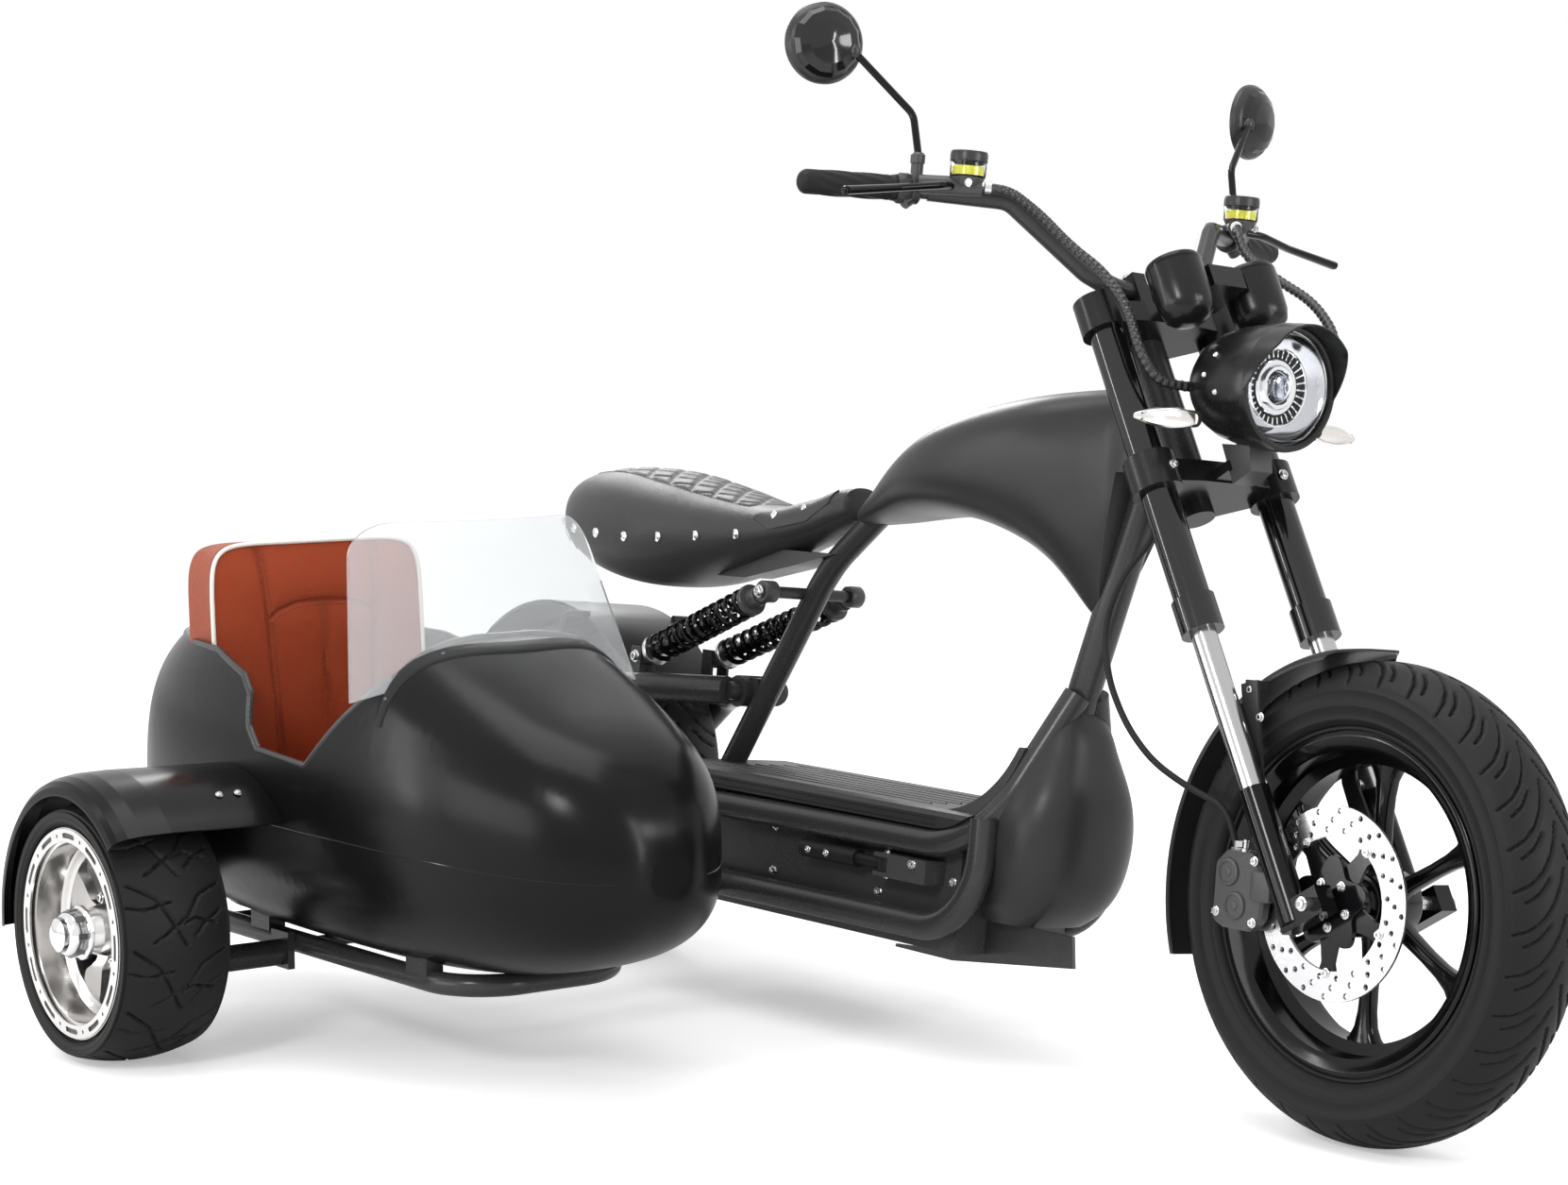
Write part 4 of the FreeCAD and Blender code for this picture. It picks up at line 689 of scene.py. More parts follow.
class Repeats:
    """Geometry Nodes trees for what repeats: small parts on marked points, and pitches round a wheel."""

    SEED = 7

    @staticmethod
    def _run(mesh: Mesh, tree: NodeTree, values: dict) -> Mesh:
        """Run a tree on a mesh with named inputs and return the plain result."""
        holder = show("repeat_source", mesh)
        modifier = holder.modifiers.new("repeat", "NODES")
        modifier.node_group = tree
        for item in tree.interface.items_tree:
            if item.item_type == "SOCKET" and item.in_out == "INPUT" and item.name in values:
                modifier[item.identifier] = values[item.name]
        return plain_mesh(holder)

    @staticmethod
    def _start(name: str, sockets: dict[str, str]) -> tuple:
        """A new geometry tree with named inputs of the given types, and those inputs."""
        tree = bpy.data.node_groups.new(name, "GeometryNodeTree")
        for key, kind in {"Geometry": "Geometry", **sockets, "Finish": "Material"}.items():
            tree.interface.new_socket(key, in_out="INPUT", socket_type="NodeSocket" + kind)
        tree.interface.new_socket("Geometry", in_out="OUTPUT", socket_type="NodeSocketGeometry")
        return tree, add_node(tree, "NodeGroupInput").outputs

    @staticmethod
    def _end(tree: NodeTree, finish: NodeSocket, copies: dict) -> NodeTree:
        """Set the copies on their points, realize and weld them, set their material and put them out."""
        copies = add_node(tree, "GeometryNodeInstanceOnPoints", copies)
        real = add_node(tree, "GeometryNodeRealizeInstances", {"Geometry": copies.outputs["Instances"]})
        weld = add_node(tree, "GeometryNodeMergeByDistance", {"Geometry": real.outputs["Geometry"], "Distance": WELD})
        paint = add_node(tree, "GeometryNodeSetMaterial", {"Geometry": weld.outputs["Geometry"], "Material": finish})
        add_node(tree, "NodeGroupOutput", {"Geometry": paint.outputs["Geometry"]})
        return tree

    @classmethod
    @cache
    def scatter_tree(cls) -> NodeTree:
        """Copies of a small part on marked points, each facing its point's aim, turned by a fixed seed."""
        tree, given = cls._start("parts_on_points", {"Part": "Object", "Size": "Float", "Turn": "Float", "Seed": "Int"})
        part = add_node(tree, "GeometryNodeObjectInfo", {"Object": given["Part"]})
        aim, run = (add_node(tree, "GeometryNodeInputNamedAttribute", {"Name": name}, data_type="FLOAT_VECTOR")
                    for name in ("aim", "run"))
        facing = add_node(tree, "FunctionNodeAxesToRotation", {
            "Primary Axis": aim.outputs["Attribute"], "Secondary Axis": run.outputs["Attribute"]},
            primary_axis="Z", secondary_axis="X")
        chance = add_node(tree, "FunctionNodeRandomValue", {3: given["Turn"], "Seed": given["Seed"]})
        spin = add_node(tree, "ShaderNodeCombineXYZ", {"Z": chance.outputs[1]})
        euler = add_node(tree, "FunctionNodeEulerToRotation", {0: spin.outputs[0]})
        turn = add_node(tree, "FunctionNodeRotateRotation", {0: facing.outputs[0], 1: euler.outputs[0]},
                        rotation_space="LOCAL")
        return cls._end(tree, given["Finish"], {
            "Points": given["Geometry"], "Instance": part.outputs["Geometry"], "Rotation": turn.outputs[0],
            "Scale": given["Size"]})

    @classmethod
    @cache
    def ring_tree(cls) -> NodeTree:
        """One pitch of a tyre repeated evenly round its axle."""
        tree, given = cls._start("pitches_round_axle", {"Count": "Int", "Centre": "Vector", "Axle": "Vector"})
        points = add_node(tree, "GeometryNodePoints", {"Count": given["Count"], "Position": given["Centre"]})
        number = add_node(tree, "GeometryNodeInputIndex").outputs[0]
        angle = calculate(tree, "MULTIPLY", calculate(tree, "DIVIDE", number, given["Count"]), 2 * math.pi)
        turn = add_node(tree, "FunctionNodeAxisAngleToRotation", {"Axis": given["Axle"], "Angle": angle})
        return cls._end(tree, given["Finish"], {
            "Points": points.outputs[0], "Instance": given["Geometry"], "Rotation": turn.outputs[0]})

    @classmethod
    def on_points(cls, part: Object, marks: Sequence[Mark], place: Matrix, finish: Finish,
                  turn: float) -> Mesh:
        """Set copies of a part, drawn in millimetres along +Z, on marked points.

        Args:
            part: The small part's object.
            marks: For each copy its point, its outward aim and the direction of its long side.
            place: The drawing place of the marks.
            finish: The copies' finish.
            turn: The largest random turn about the aim, in radians.

        Returns:
            A plain mesh in the row frame.
        """
        mesh = bpy.data.meshes.new("marks")
        mesh.from_pydata([place @ Vector(p) for p, _, _ in marks], [], [])
        for name, at in (("aim", 1), ("run", 2)):
            store = mesh.attributes.new(name, "FLOAT_VECTOR", "POINT")
            turned = [(place.to_3x3() @ Vector(mark[at])).normalized() for mark in marks]
            store.data.foreach_set("vector", [c for v in turned for c in v])
        return cls._run(mesh, cls.scatter_tree(), {"Part": part, "Size": 0.001, "Turn": turn, "Seed": cls.SEED,
                                                   "Finish": finish.material()})

    @classmethod
    def round_axle(cls, pitch: Mesh, count: int, centre: Vector, axle: Vector,
                   finish: Finish) -> Mesh:
        """Repeat one pitch, drawn about the axle at zero, round a wheel's centre."""
        return cls._run(pitch, cls.ring_tree(), {"Count": count, "Centre": centre, "Axle": axle,
                                                 "Finish": finish.material()})


class Hardware:
    """The small parts that are copied about, in millimetres with their outward side at +Z, made once a size."""

    @staticmethod
    def _keep(piece: Piece) -> Object:
        """Make a small part a source object that isn't linked to the scene."""
        return bpy.data.objects.new(piece.name, piece.to_mesh(weld=1e-4, crease=35.0))

    @classmethod
    @cache
    def bolt(cls, size: float) -> Object:
        """A socket-head bolt on its washer: a dished round head with a six-sided recess."""
        piece = Piece("bolt_%02d" % round(size * 10), Matrix())
        h = size * 0.75
        head = ((0.01, -0.5), (size * 1.35, -0.5), (size * 1.35, 0.7), (size, 0.9), (size, h),
                (size * 0.86, h + 0.5), (size * 0.55, h + 0.5))
        rings = level_rings(head, 24)
        recess = [cls._hexagon(a, size * 0.52) for a in turns(24)]
        rings += [[(x * k, y * k, z) for x, y in recess] for k, z in ((1, h + 0.4), (1, h * 0.35), (0.01, h * 0.35))]
        piece.skin(rings, STEEL)
        return cls._keep(piece)

    @staticmethod
    def _hexagon(a: float, flat: float) -> Pair:
        """A point of a hexagon at an angle."""
        wedge = (a + math.pi / 6) % (math.pi / 3) - math.pi / 6
        r = flat / math.cos(wedge)
        return r * math.cos(a), r * math.sin(a)

    @classmethod
    @cache
    def stud(cls, size: float) -> Object:
        """A domed stud with a rolled edge and a centre dimple."""
        piece = Piece("stud_%02d" % round(size * 10), Matrix())
        shape = ((0.01, -1.0), (size, -1.0), (size * 1.02, 0.4), (size * 0.9, 1.0), (size * 0.66, 0.7),
                 (size * 0.5, 1.3), (size * 0.25, 1.7), (0.01, 1.8))
        piece.skin(level_rings(shape, 20), STEEL)
        return cls._keep(piece)

    @classmethod
    @cache
    def stitch(cls, length: float) -> Object:
        """One stitch: a short thread that dips into the leather at both ends."""
        piece = Piece("stitch_%02d" % round(length * 10), Matrix())
        path = [(length * t, 0, 0.7 * math.cos(t * math.pi) - 0.1) for t in (-0.45, -0.3, -0.1, 0.1, 0.3, 0.45)]
        piece.sweep(path, 0.55, THREAD, sides=6)
        return cls._keep(piece)

    @classmethod
    @cache
    def bar(cls, name: str, low: Point, high: Point) -> Object:
        """A small rounded block, such as a tick on a dial or a rib."""
        piece = Piece(name, Matrix())
        piece.box(low, high, STEEL, soften=0.2)
        return cls._keep(piece)


def pierced_plate(outlines: Sequence[Sequence[Pair]], thick: float, edge: float,
                  place: Matrix) -> Mesh:
    """A flat plate with holes, from 2-D outlines of which the inner ones are holes.

    Args:
        outlines: Closed lists of points, in millimetres.
        thick: The plate's thickness.
        edge: The size of its rounded edge.
        place: Where its X, Y plane and middle go.

    Returns:
        A plain mesh in the row frame.
    """
    curve = bpy.data.curves.new("plate", "CURVE")
    curve.dimensions = "2D"
    curve.fill_mode = "BOTH"
    curve.extrude = thick / 2 - edge
    curve.bevel_depth = edge
    curve.bevel_resolution = 0
    curve.offset = -edge
    for outline in outlines:
        spline = curve.splines.new("POLY")
        spline.points.add(len(outline) - 1)
        for point, (x, y) in zip(spline.points, outline):
            point.co = (x, y, 0, 1)
        spline.use_cyclic_u = True
    made = plain_mesh(show("plate", curve))
    made.transform(place)
    return made


def circle(radius: float, count: int, x: float = 0.0, y: float = 0.0) -> list[Pair]:
    """A circle as a closed outline."""
    return [(x + radius * math.cos(a), y + radius * math.sin(a)) for a in turns(count)]


def level_rings(profile: Sequence[Pair], count: int) -> list[list[Point]]:
    """Rings of points about +Z for radius and height pairs."""
    return [[(x, y, z) for x, y in circle(r, count)] for r, z in profile]


def arc_slot(r0: float, r1: float, a0: float, a1: float, count: int = 6) -> list[Pair]:
    """A slot bent round a centre, with rounded ends.

    Args:
        r0: The inner radius.
        r1: The outer radius.
        a0: The angle where it starts.
        a1: The angle where it ends.
        count: Steps along each side.

    Returns:
        A closed outline.
    """
    mid, half = (r0 + r1) / 2, (r1 - r0) / 2
    pts = [(r1, a0 + (a1 - a0) * i / count) for i in range(count + 1)]
    ends = (0.8, 1.57, 2.34)
    pts += [(mid + half * math.cos(t), a1 + half / mid * math.sin(t)) for t in ends]
    pts += [(r0, a1 - (a1 - a0) * i / count) for i in range(count + 1)]
    pts += [(mid - half * math.cos(t), a0 - half / mid * math.sin(t)) for t in ends]
    return [(r * math.cos(a), r * math.sin(a)) for r, a in pts]


@dataclass
class Tyre:
    """A tyre whose tread is one grooved pitch repeated round the axle."""

    node: str
    body: str
    place: Matrix
    centre: Point
    radius: float
    width: float
    bead: float
    bead_half: float
    crown: float
    pitches: int
    columns: int
    grooves: Sequence[Sequence[Pair]]
    groove_half: float = 1.9
    groove_deep: float = 5.0
    rows: int = 46
    mirrored: bool = True

    def profile(self) -> list[tuple[float, float, float]]:
        """Points of radius, offset and tread share from bead to bead, over the crown."""
        half = self.width / 2
        edge = half * 0.93
        lip = self.bead + 16.0
        shoulder = self.radius - self.crown + math.sqrt(self.crown ** 2 - edge ** 2)
        wall = [(self.bead + 0.3, self.bead_half - 0.3), (lip, self.bead_half - 0.3), (lip + 1.5, self.bead_half + 3.2),
                (lip + 4.5, self.bead_half + 3.4), (lip + 5.5, self.bead_half + 2.2)]
        swell = [(0.14, 0.56), (0.22, 0.70), (0.235, 0.78), (0.255, 0.79), (0.27, 0.765), (0.36, 0.86), (0.50, 0.94),
                 (0.515, 0.995), (0.535, 1.0), (0.55, 0.962), (0.70, 0.985), (0.84, 0.985), (0.855, 1.02), (0.87, 1.02),
                 (0.885, 0.98)]
        for t, s in swell:
            wall.append((lip + (shoulder - lip) * t, self.bead_half + (half - self.bead_half) * s))
        wall.append((shoulder - 3.0, edge + 1.1))
        tread = []
        for i in range(self.rows + 1):
            w = edge * (1 - 2 * i / self.rows)
            tread.append((self.radius - self.crown + math.sqrt(self.crown ** 2 - w * w), w, 1.0))
        right = [(r, w, 0.0) for r, w in wall]
        return right + tread + [(r, -w, 0.0) for r, w, _ in reversed(right)]

    def depth(self, along: float, across: float) -> float:
        """How deep the tread is cut at a place, from the nearest groove of any pitch."""
        pitch = 2 * math.pi * self.radius / self.pitches
        near = 1e9
        sides = (across, -across) if self.mirrored else (across,)
        for w in sides:
            shift = pitch / 2 if self.mirrored and w != across else 0.0
            for line in self.grooves:
                for start, end in zip(line, line[1:]):
                    for k in (-2, -1, 0, 1, 2):
                        near = min(near, run_distance((along + shift + k * pitch, w), start, end))
        fall = max(0.0, 1.0 - max(0.0, near - self.groove_half * 0.45) / self.groove_half)
        return self.groove_deep * fall * fall * (3 - 2 * fall)

    def build(self) -> None:
        """Make the tyre in place of its CAD node."""
        line = self.profile()
        turn = 2 * math.pi / self.pitches
        verts, faces = [], []
        spin = self.place.to_3x3()
        for c in range(self.columns + 1):
            a = turn * c / self.columns
            for r, w, share in line:
                cut = self.depth(a * self.radius, w) if share else 0.0
                verts.append(spin @ Vector(((r - cut) * math.cos(a), w, -(r - cut) * math.sin(a))))
        n = len(line)
        for c in range(self.columns):
            for i in range(n):
                j = (i + 1) % n
                faces.append((c * n + i, c * n + j, (c + 1) * n + j, (c + 1) * n + i))
        pitch = bpy.data.meshes.new("pitch")
        pitch.from_pydata(verts, [], faces)
        axle = (spin @ Vector(LEFT)).normalized()
        made = Repeats.round_axle(pitch, self.pitches, self.place @ Vector(self.centre), axle, TYRE_RUBBER)
        piece = Piece(self.node + "_tread", self.place)
        piece.add_mesh(made, TYRE_RUBBER)
        for face in piece.bm.faces:
            face.smooth = True
        piece.done(self.body, "tyre", self.node, crease=50.0)


@dataclass
class DrilledDisc:
    """A brake disc with rows of drilled holes on a bolted black carrier."""

    node: str
    body: str
    place: Matrix
    centre: Point
    outward: float
    outer: float = 110.0
    inner: float = 75.0
    thick: float = 4.0
    holes: int = 20
    lead: float = math.radians(54)

    def build(self) -> None:
        """Make the disc, its carrier arms and the carrier's bolts."""
        turn = self.place @ Matrix.Translation(self.centre) @ QUARTER_TURN
        outlines = [circle(self.outer, 144), circle(self.inner, 96)]
        for base in turns(self.holes):
            for row, r in enumerate((104.0, 93.5, 83.0)):
                a = base + row * 0.10
                outlines.append(circle(3.3, 14, r * math.cos(a), r * math.sin(a)))
        piece = Piece(self.node + "_drilled", self.place)
        piece.add_mesh(pierced_plate(outlines, self.thick, 0.3, turn), STEEL)
        lobes = [46 + 9 * math.cos(5 * (a + self.lead)) for a in turns(100)]
        carrier = [[(r * math.cos(a), r * math.sin(a)) for r, a in zip(lobes, turns(100))], circle(9.5, 32)]
        plate = pierced_plate(carrier, 6.0, 0.6, turn @ Matrix.Translation((0, 0, -self.outward * 2.0)))
        piece.add_mesh(plate, GLOSS_BLACK)
        marks = []
        aim = Vector((0, self.outward, 0))
        middle = Vector(self.centre)
        for a in turns(5):
            out, side = spoke(a + self.lead)
            ring = []
            for reach, wide in ((30, 16), (50, 12.0), (66, 9.5), (82, 14)):
                p = middle + out * reach
                ring.append([p + side * wide + aim * 0.8, p - side * wide + aim * 0.8, p - side * wide - aim * 3.4,
                             p + side * wide - aim * 3.4])
            piece.skin(ring, GLOSS_BLACK)
            marks.append((middle + out * 78 + aim * 2.2, aim, out))
            marks.append((middle + out * 26 + aim * 5.2, aim, out))
        piece.scatter(Hardware.bolt(4.4), marks, BOLT_STEEL, 1.0)
        piece.done(self.body, "steel", self.node)


def soft_outline(points: Sequence[Pair], radius: float) -> list[Pair]:
    """A closed flat outline whose corners are rounded to one radius."""
    first, last = Vector((*points[0], 0)), Vector((*points[-1], 0))
    middle = (first + last) / 2
    line = rounded_path([middle, *[(x, y, 0) for x, y in points], middle], radius, 1.5)
    return [(p.x, p.y) for p in line[:-1]]


@dataclass
class Caliper:
    """The front brake's caliper: two cast halves bridged over the disc, with piston caps and a bleed nipple."""

    outline: Sequence[Pair] = ((-165, 234), (-148, 227), (-104, 227), (-88, 243), (-86, 262), (-93, 300), (-110, 316),
                               (-150, 316), (-166, 300))
    bridge: Sequence[Pair] = ((-164, 238), (-148, 229), (-113, 229), (-119, 274), (-115, 313), (-150, 313), (-164, 299))

    def build(self) -> None:
        """Make the caliper in place of its CAD node."""
        piece = Piece("caliper_casting", BIKE)
        for outline, y, thick, edge in ((self.outline, -87.2, 16.2, 3.2), (self.outline, -61.6, 6.0, 1.6),
                                        (self.bridge, -71.7, 16.0, 0.6)):
            turn = BIKE @ Matrix.Translation((0, y, 0)) @ QUARTER_TURN
            piece.add_mesh(pierced_plate([soft_outline(outline, 8.0)], thick, edge, turn), CAST_BLACK)
        for x, z in ((-142, 291), (-128, 254)):
            cap = [(0.01, -1), (16.4, -1), (16.4, 0.8), (15.2, 2.6), (12.6, 2.9), (12.0, 1.7), (5.2, 1.7), (4.6, 2.6),
                   (0.01, 2.8)]
            piece.lathe(cap, CAST_BLACK, (x, -95.2, z), (0, -1, 0), 40)
        piece.box((-102, -102, 264), (-70, -92.5, 298), CAST_BLACK, soften=3.0, power=6.0)
        nipple = [(0.01, -3), (5.2, -3), (5.2, 3), (2.8, 4), (2.8, 10), (3.6, 11), (3.6, 13), (2.4, 14), (0.01, 14)]
        piece.lathe(nipple, BOLT_STEEL, (-128, -86, 316), UP, 20)
        union = [(0.01, -2), (7.0, -2), (7.0, 4), (5.2, 5), (5.2, 12), (0.01, 12)]
        piece.lathe(union, BOLT_STEEL, (-150, -77, 314), UP, 6)
        marks = [((x, -95.2, z), (0, -1, 0), FORE) for x, z in ((-103, 308), (-99, 238), (-158, 244))]
        piece.scatter(Hardware.bolt(4.2), marks, BOLT_STEEL, 1.0)
        piece.done("steering", "cast_black", "front_caliper")


@dataclass
class CastRim:
    """The front wheel's cast rim: a rolled barrel, a stepped hub and slim spokes that flare where they meet it."""

    centre: Point = (0.0, 0.0, 274.0)
    bead: float = 178.0
    half: float = 46.0
    hub: float = 38.0
    count: int = 6

    def build(self) -> None:
        """Make the rim in place of its CAD node."""
        piece = Piece("front_rim_cast", BIKE)
        lip, b, w = self.bead + 14.0, self.half, self.half * 0.45
        outer = [(lip - 2.5, -b - 5), (lip, -b - 3.6), (lip, -b), (self.bead, -b), (self.bead - 2, -w),
                 (self.bead - 15, -w + 6)]
        inner = [(self.bead - 21, -w + 6), (self.bead - 8, -w), (self.bead - 5, -b + 2), (lip - 5, -b - 5)]
        profile = outer + [(r, -o) for r, o in reversed(outer)] + [(r, -o) for r, o in inner[::-1]] + inner
        piece.lathe(profile, GLOSS_BLACK, self.centre, LEFT, 144)
        hub = [(9.0, -63.9), (29, -63.9), (30, -62.5), (30, -42), (36, -37), (self.hub, -33), (self.hub, 33), (36, 36),
               (9.0, 36)]
        piece.lathe(hub, GLOSS_BLACK, self.centre, LEFT, 72)
        for a in turns(self.count):
            out, side = spoke(math.pi / 2 + a)
            rings = []
            for reach, wide, thick in ((34, 15, 13), (44, 11.5, 12), (62, 9.0, 11), (96, 8.4, 10), (122, 9.6, 10),
                                       (140, 13.0, 10.5), (151, 19.0, 11.5), (160, 28.0, 12.5)):
                rings.append([Vector(self.centre) + out * reach + side * wide * c + Vector((0, thick * s, 0))
                              for c, s in (squared(t, 0.6) for t in turns(24))])
            piece.skin(rings, GLOSS_BLACK)
        piece.done("front_wheel", "cast_black", "front_rim", crease=45.0)


def flowing_path(points: Sequence[Point], step: float = 1.5) -> list[Vector]:
    """Sample a cable's route, each corner's arc as large as its two runs allow.

    Args:
        points: The corner points.
        step: The distance between samples.

    Returns:
        Evenly spaced points from end to end.
    """
    pts = [Vector(p) for p in points]
    out = [pts[0]]
    for a, b, c in zip(pts, pts[1:], pts[2:]):
        d1, d2 = (b - a).normalized(), (c - b).normalized()
        reach = 0.45 * min((b - a).length, (c - b).length)
        out += corner_arc(b - d1 * reach, d1, d2, reach / math.tan(d1.angle(d2) / 2), 12)
    return even_points(out + [pts[-1]], step)


@dataclass
class CableSleeves:
    """The two sleeved control cables, wound in a ribbed wrap from each hand control into the headlamp."""

    right: Sequence[Point] = ((-534.5, -214.3, 1068), (-514, -190, 1066), (-494, -158, 1042), (-463, -130, 1005),
                              (-420, -114, 977), (-374, -112, 934), (-350, -110, 884), (-334, -92, 848),
                              (-312, -34, 845))
    left: Sequence[Point] = ((-534.5, 214.3, 1068), (-516, 196, 1062), (-492, 190, 1030), (-440, 198, 1000),
                             (-378, 204, 972), (-326, 194, 930), (-300, 168, 884), (-302, 126, 852), (-312, 34, 845))
    thick: float = 6.5
    pitch: float = 8.5

    def wrap(self, gone: float, turn: float) -> float:
        """The sleeve's radius: two crossed windings with grooves between them."""
        one = abs(math.sin(math.pi * gone / self.pitch + turn / 2))
        two = abs(math.sin(math.pi * gone / self.pitch - turn / 2))
        return self.thick - 1.5 + 1.5 * max(one, two) ** 0.5 * min(1.0, 0.35 + one * two)

    def build(self) -> None:
        """Make both cables as one piece."""
        piece = Piece("cable_sleeves", BIKE)
        for route in (self.right, self.left):
            piece.sweep(flowing_path(route, 0.9), self.wrap, SLEEVE, 16)
        piece.done("steering", "rubber", "control_cables", crease=60.0)


@dataclass
class TurnSignals:
    """The leaf-shaped front turn signals: a chromed back, a clear lens and a rubber-footed stalk."""

    root: Point = (-257, 96, 806)
    tip: Point = (-271, 182, 803)
    stalk: float = 6.8
    lens_share: float = 0.80

    def build(self) -> None:
        """Make both signals as one piece."""
        piece = Piece("turn_signal_pair", BIKE)
        for s in (-1, 1):
            root, tip = sided(self.root, s), sided(self.tip, s)
            run = [root.lerp(tip, i / 28) for i in range(29)]
            size = (tip - root).length

            def leaf(gone: float, turn: float) -> float:
                """Half the leaf's height along its length."""
                t = gone / size
                return 3.2 + 10.6 * math.sin(math.pi * min(1.0, 0.06 + t * 0.94)) ** 0.8 * (1 - 0.25 * t)

            piece.sweep(run, leaf, CHROME, 24, 0.78, FORE)
            lens = [p + Vector((5.0, 0, 0)) for p in run[2:-2]]
            piece.sweep(lens, lambda gone, turn: self.lens_share * leaf(gone + 6.0, turn), SIGNAL_LENS, 24, 0.86, FORE)
            piece.sweep([(-336, s * 98, 806), (-256, s * 100, 806)], self.stalk, PLASTIC, 20)
            piece.lathe([(0.01, -4), (9.4, -4), (10, -1), (10, 9), (8, 14), (0.01, 14)], RUBBER, (-262, s * 96, 806),
                        (0, s, 0), 24)
        piece.done("steering", "chrome", "turn_signals")


@dataclass
class SideRimTrim:
    """The sidecar wheel's slotted ring, hub cap and wheel bolts, on the polished rim."""

    centre: Point = (-1257.0, -900.0, 165.0)
    face: float = -67.0
    lip: float = 131.0
    inner: float = 114.0

    def build(self) -> None:
        """Make the ring with slots and holes by turns, a dark ring behind it as painted shade in the slots, the hub cap
        and the bolts.
        """
        cx, cy, cz = self.centre
        piece = Piece("side_rim_trim", CAR)
        turn = CAR @ Matrix.Translation((cx, cy + self.face - 1.0, cz)) @ QUARTER_TURN
        outlines = [circle(self.lip, 144), circle(self.inner, 144)]
        for a in turns(12):
            outlines.append(arc_slot(119.5, 125.5, a - 0.11, a + 0.11))
            b = a + math.pi / 12
            outlines.append(circle(2.3, 12, 122.5 * math.cos(b), 122.5 * math.sin(b)))
        piece.add_mesh(pierced_plate(outlines, 3.0, 0.4, turn), POLISHED)
        # A dark steel ring just behind the slotted ring: painted shade that shows through its slots and holes.
        back = CAR @ Matrix.Translation((cx, cy + self.face + 1.2, cz)) @ QUARTER_TURN
        piece.add_mesh(pierced_plate([circle(128, 144), circle(116.5, 144)], 1.0, 0.1, back), DARK_STEEL)
        cap = [(0.01, -52), (34, -52), (34, -56), (30, -58), (29, -72), (26, -78), (22, -80), (21, -86), (14, -90),
               (0.01, -91)]
        piece.lathe(cap, CHROME, (cx, cy, cz), LEFT, 48)
        for a in turns(8):
            out, side = spoke(a)
            p = Vector((cx, cy - 65, cz)) + out * 28.6
            ring = [[p + side * w + Vector((0, h, 0)) + out * d for w, d in ((-4, -1), (4, -1), (4, 1.6), (-4, 1.6))]
                    for h in (-6, 6)]
            piece.skin(ring, DARK_STEEL)
        around = [a + math.radians(54) for a in turns(5)]
        marks = [((cx + 44 * math.cos(a), cy - 12.5, cz + 44 * math.sin(a)), (0, -1, 0), FORE) for a in around]
        piece.scatter(Hardware.bolt(5.0), marks, CHROME, 1.0)
        piece.done("side_wheel", "chrome")


